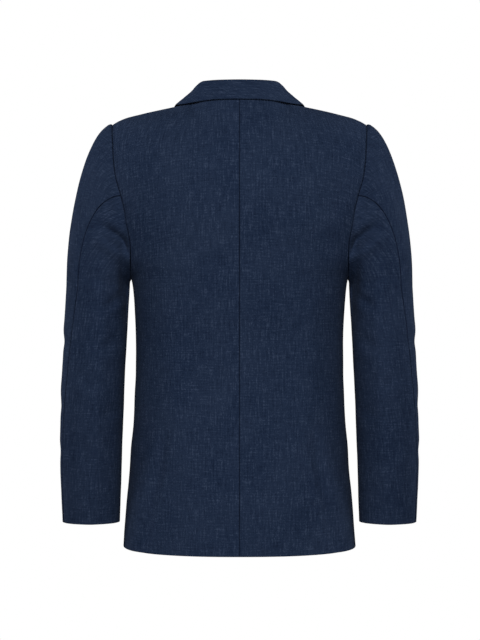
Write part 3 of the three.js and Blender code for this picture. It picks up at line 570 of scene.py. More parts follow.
@dataclass
class SleeveForm:
    """A two-piece sleeve: columns from the armhole's edge over a ring down to the cuff."""

    body: BodyForm
    ring_z: float = -262
    cuff_z: float = -647
    elbow_seam_top_z: float = -120
    forearm_seam_top_z: float = -219
    vent_top_z: float = -570
    vent_opening: float = 3
    head_low_z: float = -248
    head_high_z: float = -120
    head_follow: float = 0.6
    head_reach: float = 0.14
    head_side_reach: float = 0.17
    head_drop: float = 0.45
    armhole_half_depth: float = 74
    edge_steps: int = 90
    edge_softening: float = 9
    # height, inner and outer side, back and front
    rings: Table = (
        (-262, 177.5, 280, 66, -64),
        (-330, 181.5, 283.8, 62, -62),
        (-400, 185.5, 287.4, 56, -62),
        (-480, 189.5, 291.6, 42, -68),
        (-560, 193, 292.8, 26, -72),
        (-647, 196.5, 290.3, 7, -77),
    )
    # height, angle of the elbow seam and of the forearm seam: 0 is outward, 90 is back
    seams: Table = (
        (-262, 58, 240),
        (-330, 49, 239),
        (-400, 41, 238),
        (-480, 33, 237),
        (-560, 27, 236),
        (-647, 22, 235),
    )

    def __post_init__(self) -> None:
        """Makes the curves and walks round the armhole's edge."""
        self.inner_at, self.outer_at, self.back_at, self.front_at = curves_of(self.rings)
        self.elbow_at, self.forearm_at = curves_of(self.seams)
        self._walk_armhole()

    def _walk_armhole(self) -> None:
        """Takes the armhole's edge from the shoulder down the back, under and up the front."""
        body = self.body
        back_low = body.level_of(body.armhole_back[0][0], body.back_yoke_z)
        front_low = body.level_of(body.armhole_front[0][0], body.front_yoke_z)
        down = np.linspace(2, back_low, self.edge_steps)
        floor = np.linspace(0, 1, self.edge_steps // 2)
        rising = np.linspace(front_low, 2, self.edge_steps)
        parts = []
        # Each piece's surface, its edge, the step past or before it, its facing, what is kept
        for surface, across, along, step, facing, kept in (
            (body.back_point, 1.0, down, (STEP, 0), -1, np.s_[:]),
            (body.side_point, floor, 1.0, (0, STEP), -1, np.s_[1:]),
            (body.front_point, 1.0, rising, (-STEP, 0), 1, np.s_[1:-1]),
        ):
            across, along = matched(across, along)
            place = surface(across, along)
            beside = surface(across + step[0], along + step[1])
            normal = normals_of(surface, across, along) * facing
            parts.append([place[kept], normal[kept], unit(place - beside)[kept] * facing])
        here, out, way = (np.concatenate(group) for group in zip(*parts))
        ring = np.concatenate([here, here[:1]])
        self.edge_lengths = np.concatenate([[0], np.cumsum(lengths(np.diff(ring, axis=0)))])
        self.turn = float(self.edge_lengths[-1])
        high = smoothstep(here[:, 2], self.head_low_z, self.head_high_z)[:, None]
        follow = self.head_follow * high
        way = unit(way * follow + out * (1 - follow))
        self.edge_way = unit(self._softened(way))
        self.edge_out = unit(self._softened(out))
        self.edge_here = here
        self.edge_high = high
        on_back = np.arange(len(here)) < self.edge_steps
        on_front = np.arange(len(here)) >= len(here) - self.edge_steps + 2
        place = self.edge_lengths[:-1]
        self.elbow_length = float(
            np.interp(-self.elbow_seam_top_z, -here[on_back, 2], place[on_back])
        )
        self.forearm_length = float(
            np.interp(self.forearm_seam_top_z, here[on_front, 2], place[on_front])
        )

    def _softened(self, vectors: Array) -> Array:
        """Vectors round the armhole with their jumps evened out over a short length."""
        along = self.edge_lengths[:-1]
        apart = np.abs(along[:, None] - along[None, :])
        apart = np.minimum(apart, self.turn - apart)
        steps = (self.edge_lengths[1:] - self.edge_lengths[:-1])[None, :]
        weights = np.exp(-((apart / self.edge_softening) ** 2)) * steps
        return weights @ vectors / weights.sum(axis=1, keepdims=True)

    def _round_edge(self, values: Array, position: Array) -> Array:
        """Values kept along the armhole's edge, read at lengths round it."""
        closed = np.concatenate([values, values[:1]])
        at = np.mod(position, self.turn)
        return np.stack([np.interp(at, self.edge_lengths, column) for column in closed.T], axis=-1)

    def ring(self, angle_degrees: Array, z: Array) -> Array:
        """Point of the sleeve's ring at an angle and a height."""
        angle = np.radians(angle_degrees)
        inner, outer = self.inner_at(z), self.outer_at(z)
        back, front = self.back_at(z), self.front_at(z)
        return points_of(
            (inner + outer) / 2 + (outer - inner) / 2 * np.cos(angle),
            (back + front) / 2 + (back - front) / 2 * np.sin(angle),
            z,
        )

    def column_angle(self, position: Array, z: Array) -> Array:
        """Angle of a column about the sleeve at a height."""
        elbow, forearm = self.elbow_at(z), self.forearm_at(z)
        under = (position - self.elbow_length) / (self.forearm_length - self.elbow_length)
        rest = self.turn + self.elbow_length - self.forearm_length
        over = (position - self.forearm_length) / rest
        return np.where(
            position <= self.forearm_length,
            lerp(elbow, forearm, under),
            lerp(forearm, elbow + 360, over),
        )

    def point(self, position: Array, level: Array) -> Array:
        """Sleeve: length round the armhole, level 0 armhole, 1 ring below it, 2 cuff."""
        position, level = matched(position, level)
        z = lerp(self.ring_z, self.cuff_z, np.maximum(level - 1, 0))
        below = self.ring(self.column_angle(position, z), z)
        ring_z = np.full(position.shape, float(self.ring_z))
        ring = self.ring(self.column_angle(position, ring_z), ring_z)
        here = self._round_edge(self.edge_here, position)
        way = unit(self._round_edge(self.edge_way, position))
        high = self._round_edge(self.edge_high, position)
        length = lengths(ring - here)
        sideways = (here[..., 1:2] / self.armhole_half_depth) ** 2
        leaving = here + way * length * (self.head_reach + self.head_side_reach * sideways * high)
        landing = ring + length * np.array([0, 0, self.head_drop])
        t = np.minimum(level, 1)[..., None]
        s = 1 - t
        above = here * s**3 + (leaving * s + landing * t) * (3 * s * t) + ring * t**3
        return np.where((level <= 1)[..., None], above, below)

    def level_of(self, z: float) -> float:
        """Level of a height below the ring."""
        return 1 + (z - self.ring_z) / (self.cuff_z - self.ring_z)

    def vent_trim(self, level: Array) -> Array:
        """How far an edge of the elbow seam is drawn in: the two part towards the cuff."""
        top = self.level_of(self.vent_top_z)
        opened = np.maximum(0, (level - top) / (2 - top))
        return SEWN + self.vent_opening / 2 * opened


@dataclass
class LapelForm:
    """The front turned back at its roll line, up to the gorge seam and the notch."""

    body: BodyForm
    fronts: dict[bool, PanelMap]
    gorge_rise: float = 1.345
    point_z: float = -82
    notch_share: float = 0.41
    notch_sag: float = 10.3
    notch_sag_power: float = 4
    roll_share: float = 0.25
    roll_lead: float = 0.8
    roll_room: float = 2
    break_room: float = 0.6
    full_room_up: float = 0.3
    settle: float = 0.4
    rest: float = 0.6
    crossing_clearance: float = 4.5
    # height, place of the lapel's edge to the side of the centre
    edge: Table = ((-335, -11), (-300, 11), (-250, 37), (-180, 73), (-120, 102), (-82, 122))

    def __post_init__(self) -> None:
        """Makes the edge's curve and finds the gorge."""
        self.edge_at = Curve(self.edge, 1)
        self.gorge_z = float(self.body.front_point(0.0, self.gorge_rise)[..., 2])

    def point(self, over: Array, up: Array, is_under: bool) -> Array:
        """Lapel: over from the inside of the roll (0) to the edge (1), up from the break.

        Args:
            over: Share of the way over.
            up: Share of the way up, 1 at the gorge.
            is_under: Whether it is on the front that lies under.

        Returns:
            The points.
        """
        over, up = matched(over, up)
        body, panel = self.body, self.fronts[is_under]
        z0 = lerp(body.break_z, self.gorge_z, up)
        z1 = lerp(body.break_z, self.point_z, up)
        roll_x = body.roll_x(z0)
        covered = (roll_x < self.crossing_clearance) & is_under
        x0 = np.where(covered, self.crossing_clearance - roll_x, roll_x)
        room = lerp(self.break_room, self.roll_room, smoothstep(up, 0, self.full_room_up))
        radius = (WALL + room / 2)[..., None]
        here, out = panel.find(x0, z0)
        leaving = unit(np.cross(points_of(body.roll_x(z0 + 1) - x0, 0, 1), out))
        leaving = np.where(leaving[..., :1] > 0, -leaving, leaving)
        turn = math.pi * np.clip(over / self.roll_share, 0, 1)[..., None]
        rolled = (
            here
            + out * ((WALL + room)[..., None] - radius - radius * np.cos(turn))
            + leaving * (SEAM_GAP + self.roll_lead + radius * np.sin(turn))
        )
        t = np.where(covered, over, (over - self.roll_share) / (1 - self.roll_share))
        notch = np.interp(t, (0, self.notch_share, 1), (0, 1, 0))
        sag = self.notch_sag * np.abs(up) ** self.notch_sag_power * notch
        foot, foot_out = panel.find(lerp(x0, self.edge_at(z1), t), lerp(z0, z1, t) - sag)
        height = lerp(room, self.rest, smoothstep(t, 0, self.settle))
        height = np.where(covered, self.rest, height)
        leaf = foot + foot_out * (WALL + height)[..., None]
        is_rolled = (over < self.roll_share) & ~covered
        return np.where(is_rolled[..., None], rolled, leaf)


@dataclass
class CollarForm:
    """The collar: its stand, the round of its fold and its leaf, from the neck seam over."""

    body: BodyForm
    back: PanelMap
    lapel: LapelForm
    fold_radius: float = 2.8
    stand_share: float = 0.2
    fold_share: float = 0.5
    leaf_lean: float = 1.2
    blend_start: float = 1.75
    gorge_stretch: float = 0.12
    # station, x, y, z of the fold, x and z of the leaf's edge, swell of the leaf
    stations: Table = (
        (0, 0, 55, 63, 0, 30.5, 1.5),
        (0.35, 31, 53, 63, 33, 30.3, 1.5),
        (0.64, 55, 46, 62.4, 61, 28.8, 1.5),
        (0.83, 66, 33, 57.5, 79, 26.8, 1),
        (0.93, 72, 20, 52.5, 91, 25.6, 0.6),
        (1, 75.5, 6, 48.5, 101, 28.4, 0.5),
        (1.2, 76.5, -17, 39.5, 109, 19.5, 2.2),
        (1.45, 74, -46, 21.5, 113.5, 1, 3),
        (1.75, 65.5, -74.5, -8, 107, -41, 2.5),
        (2, 58.8, -91.7, -36.3, 87, -65.2, 0.8),
    )

    def __post_init__(self) -> None:
        """Lays the leaf's edge on the cloth below and makes the curves along the collar."""
        rows = []
        front = self.lapel.fronts[False]
        for along, fold_x, fold_y, fold_z, edge_x, edge_z, swell in self.stations:
            panel = self.back if along <= 1 else front
            here, out = panel.find(np.array([float(edge_x)]), np.array([float(edge_z)]))
            edge = here[0] + out[0] * (WALL + REST_GAP)
            rows.append((along, fold_x, fold_y, fold_z, *edge, swell))
        along, fold_x, fold_y, fold_z, x, y, z, swell = rows[1]
        rows.insert(0, (-along, -fold_x, fold_y, fold_z, -x, y, z, swell))
        curves = curves_of(tuple(rows))
        self.fold_at = lambda along: points_of(*(curve(along) for curve in curves[:3]))
        self.edge_at = lambda along: points_of(*(curve(along) for curve in curves[3:6]))
        self.swell_at = curves[6]

    def _neck_place(self, along: Array) -> Array:
        """Place on the neck seam: 0 centre back, 1 shoulder, 2 gorge."""
        body = self.body
        on_back, _ = body.top_edge(body.neck_yoke * np.minimum(along, 1))
        level = lerp(2, self.lapel.gorge_rise, np.maximum(along - 1, 0))
        on_front = body.front_point(np.zeros(level.shape), level)
        return np.where((along <= 1)[..., None], on_back, on_front)

    def start(self, along: Array) -> Array:
        """Foot of the stand: the more it rises from the panel, the further in it lies."""
        body = self.body
        here = self._neck_place(along)
        is_front = along >= 1
        near = np.where(is_front, along, along + STEP)
        behind = np.where(is_front, near, near - STEP)
        ahead = unit(self._neck_place(near + STEP) - self._neck_place(behind))
        level = lerp(2, self.lapel.gorge_rise, np.maximum(along - 1, 0))
        front_out = normals_of(body.front_point, np.full(level.shape, STEP), level)
        columns = body.back_across(body.neck_yoke * np.minimum(along, 1))
        back_out = -normals_of(body.back_point, columns, np.full(columns.shape, 2.0))
        out = np.where(is_front[..., None], front_out, back_out)
        leaving = unit(np.cross(ahead, out))
        rising = np.maximum(dots(unit(self.fold_at(along) - here), out), 0)
        return here + leaving * (SEAM_GAP + WALL * rising) - out * WALL

    def section(self, over: Array, along: Array) -> Array:
        """Point of the collar's section at a station: stand, fold, leaf."""
        start, edge, fold = self.start(along), self.edge_at(along), self.fold_at(along)
        up = unit(fold - (start + edge) / 2)
        chord = edge - start
        across = unit(chord - up * dots(chord, up))
        centre = fold - up * self.fold_radius

        def fold_point(turn: Array) -> Array:
            """Point of the fold's round."""
            return centre + (up * np.sin(turn) - across * np.cos(turn)) * self.fold_radius

        t = over[..., None]
        stand = lerp(start, fold_point(np.zeros(t.shape)), t / self.stand_share)
        turn = math.pi * (t - self.stand_share) / (self.fold_share - self.stand_share)
        leaf_start = fold_point(np.full(t.shape, math.pi))
        out = unit(up + across * self.leaf_lean)
        middle = (leaf_start + edge) / 2 + out * (2 * self.swell_at(along))[..., None]
        s = np.clip((t - self.fold_share) / (1 - self.fold_share), 0, 1)
        leaf = leaf_start * (1 - s) ** 2 + middle * (2 * s * (1 - s)) + edge * s * s
        folded = np.where(t < self.fold_share, fold_point(turn), leaf)
        return np.where(t < self.stand_share, stand, folded)

    def point(self, over: Array, signed_along: Array) -> Array:
        """Collar: over from the neck seam (0) to the leaf's edge (1), all round the neck."""
        over, signed_along = matched(over, signed_along)
        along = np.abs(signed_along)
        point = self.section(over, along)
        blend = smoothstep(along, self.blend_start, 2)[..., None]
        lapel = self.lapel
        seam_over = lerp(lapel.roll_share, 1, lapel.notch_share)
        shares = (0, lapel.roll_share, seam_over)
        lapel_over = np.interp(over, (0, self.fold_share, 1), shares)
        up = 1 + (2 - along) * self.gorge_stretch
        ends = np.where(
            (signed_along < 0)[..., None],
            lapel.point(lapel_over, up, True),
            lapel.point(lapel_over, up, False),
        )
        point = lerp(point, ends, blend)
        point[..., 0] *= np.where(signed_along < 0, -1, 1)
        return point


# Folds in the cloth


@dataclass(frozen=True)
class Crease:
    """A soft trough in the cloth with a ridge beside it, drawn as seen from one side.

    The points are places in millimetres along the view's two axes. The depth is how far
    the trough sinks, or how far a ridge rises where it is negative. The place and width
    of the ridge beside it are in widths of the crease.
    """

    view: View
    points: tuple[tuple[float, float], ...]
    width: float
    depth: float
    ridge: float = 0.45
    reach: float = 0.35
    widths_around: float = 4
    corner_rounds: int = 3
    ridge_place: float = 1.7
    ridge_width: float = 1.2
    taper_power: float = 0.8
    taper_start: float = 0.02

    def rise(self, places: Array, normals: Array) -> Array:
        """How far the crease moves each place of the cloth along its normal.

        Args:
            places: Points of the cloth.
            normals: Their outward unit normals.

        Returns:
            One value a point.
        """
        first, second, facing = self.view.value
        plan = np.stack([places[..., first], places[..., second]], axis=-1)
        path = self._path()
        around = self.widths_around * self.width
        low, high = path.min(axis=0) - around, path.max(axis=0) + around
        near = np.all((plan > low) & (plan < high), axis=-1)
        seen = smoothstep(normals @ np.array(facing), 0.0, self.reach)
        near &= seen > 0
        rise = np.zeros(places.shape[:-1])
        if near.any():
            rise[near] = self._profile(plan[near], path) * seen[near]
        return rise

    def _path(self) -> Array:
        """The crease's line with its corners rounded."""
        points = np.array(self.points, float)
        for _ in range(self.corner_rounds if len(points) > 2 else 0):
            quarter = lerp(points[:-1], points[1:], 0.25)
            three = lerp(points[:-1], points[1:], 0.75)
            rounded = np.stack([quarter, three], axis=1).reshape(-1, 2)
            points = np.concatenate([points[:1], rounded, points[-1:]])
        return points

    def _profile(self, plan: Array, path: Array) -> Array:
        """Height of the trough and its ridge over places in plan."""
        starts, steps = path[:-1], np.diff(path, axis=0)
        sizes = np.maximum((steps**2).sum(axis=1), 1e-9)
        away = plan[:, None, :] - starts[None]
        t = np.clip((away * steps[None]).sum(axis=-1) / sizes, 0, 1)
        gap = away - t[..., None] * steps[None]
        distance = np.sqrt((gap**2).sum(axis=-1))
        nearest = distance.argmin(axis=1)
        every = np.arange(len(plan))
        travelled = np.concatenate([[0], np.cumsum(np.sqrt(sizes))])
        done = (travelled[nearest] + t[every, nearest] * np.sqrt(sizes)[nearest]) / travelled[-1]
        turned = steps[nearest, 0] * away[every, nearest, 1]
        turned -= steps[nearest, 1] * away[every, nearest, 0]
        signed = distance[every, nearest] * np.sign(turned) / self.width
        done = np.clip(done, self.taper_start, 1 - self.taper_start)
        taper = np.sin(math.pi * done) ** self.taper_power
        trough = np.exp(-(signed**2))
        ridge = self.ridge * np.exp(-(((signed - self.ridge_place) / self.ridge_width) ** 2))
        return self.depth * taper * (ridge - trough)


# Finishes


class NodeWriter:
    """Adds nodes to a tree and links them by name."""

    def __init__(self, tree: bpy.types.NodeTree) -> None:
        """Keeps the tree that it writes to."""
        self.tree = tree

    def node(self, kind: str, **settings: object) -> bpy.types.Node:
        """A new node of Blender's kind, with attributes set on it."""
        made = self.tree.nodes.new(kind)
        for name, value in settings.items():
            setattr(made, name, value)
        return made

    def feed(self, socket: Socket, value: object) -> None:
        """Links an output to a socket, or sets the socket to a plain value."""
        if isinstance(value, Socket):
            self.tree.links.new(value, socket)
        else:
            socket.default_value = value

    def fill(self, node: bpy.types.Node, given: dict[str, object]) -> None:
        """Feeds several sockets of a node by their names."""
        for name, value in given.items():
            self.feed(node.inputs[name], value)

    def maths(self, operation: str, *values: object) -> Socket:
        """Result of a Math node over sockets or numbers."""
        made = self.node("ShaderNodeMath", operation=operation)
        for socket, value in zip(made.inputs, values):
            self.feed(socket, value)
        return made.outputs[0]

    def ranged(self, value: object, given: Span, wanted: Span = (0, 1)) -> Socket:
        """Value brought from one range to another and held inside it."""
        made = self.node("ShaderNodeMapRange", interpolation_type="SMOOTHSTEP")
        for socket, number in zip(made.inputs, (value, *given, *wanted)):
            self.feed(socket, number)
        return made.outputs[0]

    def noise(self, vector: object, stretch: Triple, detail: float = 1) -> Socket:
        """Noise from 0 to 1 over a vector that is stretched along its axes."""
        mapping = self.node("ShaderNodeMapping")
        self.fill(mapping, {"Vector": vector, "Scale": stretch})
        made = self.node("ShaderNodeTexNoise")
        self.fill(made, {"Vector": mapping.outputs[0], "Scale": 1, "Detail": detail})
        return made.outputs[0]

    def mixed(self, share: object, first: object, second: object) -> Socket:
        """Mix of two colours."""
        made = self.node("ShaderNodeMix", data_type="RGBA")
        for place, value in ((0, share), (6, first), (7, second)):
            self.feed(made.inputs[place], value)
        return made.outputs[2]

    def bump(self, height: object, strength: float, distance: float) -> Socket:
        """Normal of a relief."""
        made = self.node("ShaderNodeBump")
        self.fill(made, {"Strength": strength, "Distance": distance, "Height": height})
        return made.outputs[0]


@dataclass(frozen=True)
class Weave:
    """Plain weave with uneven yarns, over places on the cloth in metres.

    A stretch is how many cells of noise lie in a metre, and a slice of the noise. A span
    is where a noise starts to show and where it shows in full.
    """

    name: str = "slub_weave"
    warp: Triple = (400, 40, 1)
    weft: Triple = (44, 460, 7)
    speck: Triple = (440, 340, 11)
    warp_slub: Triple = (640, 60, 3)
    weft_slub: Triple = (75, 800, 5)
    fibre: Triple = (2100, 2100, 1)
    patch: Triple = (14, 11, 1)
    patch_detail: float = 3
    warp_share: float = 0.75
    weft_share: float = 0.55
    speck_share: float = 0.7
    light_span: Span = (1.0, 1.36)
    dark_span: Span = (1.0, 0.66)
    warp_slub_span: Span = (0.64, 0.8)
    weft_slub_span: Span = (0.66, 0.82)
    fleck_span: Span = (0.35, 0.7)
    fleck_most: float = 0.35
    patch_span: Span = (0.3, 0.7)
    thread_pitch: float = 0.0011
    thread_height: float = 0.14
    streak_height: float = 0.5
    slub_height: float = 0.5
    rough_span: Span = (0.7, 1.3)
    rough: Span = (0.95, 0.82)

    def group(self) -> bpy.types.NodeTree:
        """The node group that gives colour, height and roughness, made once."""
        if self.name in bpy.data.node_groups:
            return bpy.data.node_groups[self.name]
        group = bpy.data.node_groups.new(self.name, "ShaderNodeTree")
        for way, kind, names in (
            ("INPUT", "NodeSocketVector", ("Vector",)),
            ("INPUT", "NodeSocketColor", ("Ground", "Light yarn", "Dark yarn")),
            ("INPUT", "NodeSocketFloat", ("Slub", "Mottle")),
            ("OUTPUT", "NodeSocketColor", ("Color",)),
            ("OUTPUT", "NodeSocketFloat", ("Height", "Roughness")),
        ):
            for name in names:
                group.interface.new_socket(name=name, in_out=way, socket_type=kind)
        write = NodeWriter(group)
        given = write.node("NodeGroupInput").outputs
        place = given["Vector"]
        streaks = self._streaks(write, place)
        slubs = write.maths(
            "MAXIMUM",
            write.ranged(write.noise(place, self.warp_slub), self.warp_slub_span),
            write.ranged(write.noise(place, self.weft_slub), self.weft_slub_span),
        )
        colour = given["Ground"]
        for share, yarn in (
            (write.ranged(streaks, self.light_span), "Light yarn"),
            (write.ranged(streaks, self.dark_span), "Dark yarn"),
            (slubs, "Light yarn"),
        ):
            shown = write.maths("MULTIPLY", share, given["Slub"])
            colour = write.mixed(shown, colour, given[yarn])
        fibre = write.noise(place, self.fibre)
        fleck = write.ranged(fibre, self.fleck_span, (0, self.fleck_most))
        colour = write.mixed(fleck, colour, given["Dark yarn"])
        patch = write.ranged(write.noise(place, self.patch, self.patch_detail), self.patch_span)
        mottle = write.maths("MULTIPLY", patch, given["Mottle"])
        colour = write.mixed(mottle, colour, given["Light yarn"])
        height = write.maths(
            "MULTIPLY_ADD",
            self._threads(write, place),
            self.thread_height,
            write.maths("MULTIPLY", streaks, self.streak_height),
        )
        height = write.maths("MULTIPLY_ADD", slubs, self.slub_height, height)
        rough = write.ranged(streaks, self.rough_span, self.rough)
        out = write.node("NodeGroupOutput")
        write.fill(out, {"Color": colour, "Height": height, "Roughness": rough})
        return group

    def _streaks(self, write: NodeWriter, place: Socket) -> Socket:
        """Long thin streaks along the warp and the weft, with specks between."""
        warp = write.maths("MULTIPLY", write.noise(place, self.warp), self.warp_share)
        weft = write.noise(place, self.weft)
        both = write.maths("MULTIPLY_ADD", weft, self.weft_share, warp)
        return write.maths("MULTIPLY_ADD", write.noise(place, self.speck), self.speck_share, both)

    def _threads(self, write: NodeWriter, place: Socket) -> Socket:
        """Threads that pass over and under each other."""
        axes = write.node("ShaderNodeSeparateXYZ")
        write.feed(axes.inputs[0], place)
        turns = 2 * math.pi / self.thread_pitch
        waves = [
            write.maths("SINE", write.maths("MULTIPLY", axes.outputs[axis], turns))
            for axis in range(2)
        ]
        return write.maths("MULTIPLY", *waves)


@dataclass(frozen=True)
class Finish:
    """A surface whose material is made once and shared by its pieces."""

    name: str

    def material(self) -> bpy.types.Material:
        """The material, made when it is first asked for."""
        if self.name not in bpy.data.materials:
            made = bpy.data.materials.new(self.name)
            made.use_nodes = True
            nodes = made.node_tree.nodes
            self.compose(NodeWriter(made.node_tree), nodes["Principled BSDF"])
        return bpy.data.materials[self.name]

    def compose(self, write: NodeWriter, shader: bpy.types.Node) -> None:
        """Writes the material's nodes; each finish has its own."""
        raise NotImplementedError


@dataclass(frozen=True)
class ClothFinish(Finish):
    """Navy linen-like cloth with light and dark slubs, soft sheen and a woven relief."""

    name: str = "navy_slub_cloth"
    ground: Colour = (0.0130, 0.0225, 0.0480, 1)
    light_yarn: Colour = (0.0430, 0.0620, 0.1080, 1)
    dark_yarn: Colour = (0.0050, 0.0090, 0.0220, 1)
    slub: float = 0.7
    mottle: float = 0.10
    # painted shade: a near-black colour mixed in along the seam lines, in place of the shadow in
    # their grooves
    painted_groove_shade_colour: Colour = (0.0022, 0.0034, 0.0085, 1)
    painted_groove_shade_mask: str = "seam"
    relief: float = 0.5
    relief_depth: float = 0.0005
    sheen: float = 0.02
    sheen_roughness: float = 0.5
    sheen_tint: Colour = (0.55, 0.66, 0.9, 1)

    def compose(self, write: NodeWriter, shader: bpy.types.Node) -> None:
        """Weave over the flat cloth, with painted shade along the seams in place of the shadow in
        their grooves.
        """
        place = write.node("ShaderNodeUVMap", uv_map=UV_MAP).outputs[0]
        weave = write.node("ShaderNodeGroup", node_tree=Weave().group())
        given = {"Vector": place, "Slub": self.slub, "Mottle": self.mottle}
        yarns = {
            "Ground": self.ground,
            "Light yarn": self.light_yarn,
            "Dark yarn": self.dark_yarn,
        }
        write.fill(weave, given | yarns)
        # painted shade along the seams, read from the mask that each panel writes on its points
        seam = write.node("ShaderNodeAttribute", attribute_name=self.painted_groove_shade_mask).outputs["Fac"]
        colour = write.mixed(seam, weave.outputs["Color"], self.painted_groove_shade_colour)
        surface = {
            "Base Color": colour,
            "Roughness": weave.outputs["Roughness"],
            "Normal": write.bump(weave.outputs["Height"], self.relief, self.relief_depth),
            "Sheen Weight": self.sheen,
            "Sheen Roughness": self.sheen_roughness,
            "Sheen Tint": self.sheen_tint,
            "Specular IOR Level": 0.0,
        }
        write.fill(shader, surface)


@dataclass(frozen=True)
class ButtonFinish(Finish):
    """Dark horn: faint streaks under a soft polish."""

    name: str = "dark_horn"
    dark: Colour = (0.0065, 0.0070, 0.0095, 1)
    light: Colour = (0.030, 0.027, 0.027, 1)
    streaks: Triple = (90, 260, 520)
    streak_detail: float = 4
    streak_span: Span = (0.42, 0.72)
    streak_most: float = 0.8
    grain: Triple = (1500, 1500, 1500)
    rough: Span = (0.26, 0.42)
    relief: float = 0.2
    relief_depth: float = 0.0001

    def compose(self, write: NodeWriter, shader: bpy.types.Node) -> None:
        """Streaks for the colour and a fine grain for the polish."""
        place = write.node("ShaderNodeTexCoord").outputs["Object"]
        streaks = write.noise(place, self.streaks, self.streak_detail)
        share = write.ranged(streaks, self.streak_span, (0, self.streak_most))
        grain = write.noise(place, self.grain, FINE_DETAIL)
        surface = {
            "Base Color": write.mixed(share, self.dark, self.light),
            "Roughness": write.ranged(grain, FINE_SPAN, self.rough),
            "Normal": write.bump(grain, self.relief, self.relief_depth),
        }
        write.fill(shader, surface)


@dataclass(frozen=True)
class ThreadFinish(Finish):
    """Twisted navy thread, a shade lighter than the cloth."""

    name: str = "navy_thread"
    dark: Colour = (0.0075, 0.0110, 0.0230, 1)
    light: Colour = (0.030, 0.040, 0.070, 1)
    twist_pitch: float = 0.0007
    fibre: Triple = (3000, 3000, 3000)
    fibre_span: Span = (0.2, 0.7)
    fibre_share: Span = (0.4, 1)
    rough: Span = (0.6, 0.8)
    relief: float = 0.6
    relief_depth: float = 0.0002

    def compose(self, write: NodeWriter, shader: bpy.types.Node) -> None:
        """Turns of the twist with loose fibres over them."""
        place = write.node("ShaderNodeTexCoord").outputs["Object"]
        axes = write.node("ShaderNodeSeparateXYZ")
        write.feed(axes.inputs[0], place)
        turns = write.maths("MULTIPLY", axes.outputs[0], 2 * math.pi / self.twist_pitch)
        twist = write.maths("MULTIPLY_ADD", write.maths("SINE", turns), 0.5, 0.5)
        fibre = write.noise(place, self.fibre, FINE_DETAIL)
        fibres = write.ranged(fibre, self.fibre_span, self.fibre_share)
        share = write.maths("MULTIPLY", twist, fibres)
        surface = {
            "Base Color": write.mixed(share, self.dark, self.light),
            "Roughness": write.ranged(fibre, FINE_SPAN, self.rough),
            "Normal": write.bump(twist, self.relief, self.relief_depth),
        }
        write.fill(shader, surface)


@dataclass(frozen=True)
class PaleFinish(Finish):
    """The studio's plain pale floor, which melts into the backdrop for the camera."""

    name: str = "pale_floor"
    colour: Colour = (0.12, 0.12, 0.125, 1)
    grain: Triple = (40, 40, 40)
    grain_detail: float = 3
    grain_span: Span = (0.3, 0.7)
    rough: Span = (0.75, 0.85)
    glow: float = 1.0

    def compose(self, write: NodeWriter, shader: bpy.types.Node) -> None:
        """A pale floor as a light, white for the camera."""
        place = write.node("ShaderNodeTexCoord").outputs["Object"]
        grain = write.noise(place, self.grain, self.grain_detail)
        rough = write.ranged(grain, self.grain_span, self.rough)
        write.fill(shader, {"Base Color": self.colour, "Roughness": rough})
        glow = write.node("ShaderNodeEmission")
        write.fill(glow, {"Color": WHITE, "Strength": self.glow})
        mix = write.node("ShaderNodeMixShader")
        seen = write.node("ShaderNodeLightPath").outputs["Is Camera Ray"]
        for socket, value in zip(mix.inputs, (seen, shader.outputs[0], glow.outputs[0])):
            write.feed(socket, value)
        output = write.tree.nodes["Material Output"]
        write.feed(output.inputs["Surface"], mix.outputs[0])


# Cloth shells


def mesh_object(name: str, places: Array, faces: list, uvs: Array) -> bpy.types.Object:
    """A smooth mesh object with its place on the flat cloth.

    Args:
        name: Name of the object and of its mesh.
        places: Its points, in millimetres.
        faces: The points of each face.
        uvs: Each point's place on the flat cloth, in metres.

    Returns:
        The object, linked to the scene.
    """
    mesh = bpy.data.meshes.new(name)
    mesh.from_pydata((places * MM).tolist(), [], faces)
    mesh.polygons.foreach_set("use_smooth", np.ones(len(mesh.polygons), bool))
    layer = mesh.uv_layers.new(name=UV_MAP)
    corner = np.zeros(len(mesh.loops), np.int32)
    mesh.loops.foreach_get("vertex_index", corner)
    layer.data.foreach_set("uv", uvs[corner].astype(np.float32).ravel())
    mesh.update()
    made = bpy.data.objects.new(name, mesh)
    bpy.context.scene.collection.objects.link(made)
    return made


@dataclass(frozen=True)
class SeamBinding:
    """A narrow rolled binding that covers a seam from inside.

    The line is the seam's edge and the out vectors point out of the garment.
    """

    name: str
    line: Array
    out: Array
    radius: float = 0.9
    drop: float = 0.92
    sides: int = 8

    def build(self, finish: ClothFinish) -> None:
        """Makes the binding from the cloth and ties it to the body."""
        way = unit(np.gradient(self.line, axis=0))
        across = unit(np.cross(way, self.out))
        up = unit(np.cross(across, way))
        middle = self.line - up * (WALL + self.drop)
        turn = np.linspace(0, 2 * math.pi, self.sides, endpoint=False)
        cosine, sine = np.cos(turn)[None, :, None], np.sin(turn)[None, :, None]
        ring = cosine * across[:, None] + sine * up[:, None]
        places = (middle[:, None] + ring * self.radius).reshape(-1, 3)
        count = len(self.line)
        index = np.arange(count * self.sides).reshape(count, self.sides)
        ahead = np.roll(index, -1, axis=1)
        faces = np.stack([index[:-1], ahead[:-1], ahead[1:], index[1:]], axis=-1)
        faces = faces.reshape(-1, 4).tolist() + [index[0, ::-1].tolist(), index[-1].tolist()]
        run = np.insert(np.cumsum(lengths(np.diff(self.line, axis=0))), 0, 0)
        uvs = np.stack(np.meshgrid(turn * self.radius, run), axis=-1).reshape(-1, 2) * MM
        made = mesh_object(self.name, places, faces, uvs)
        made.data.materials.append(finish.material())
        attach(made, BODY)


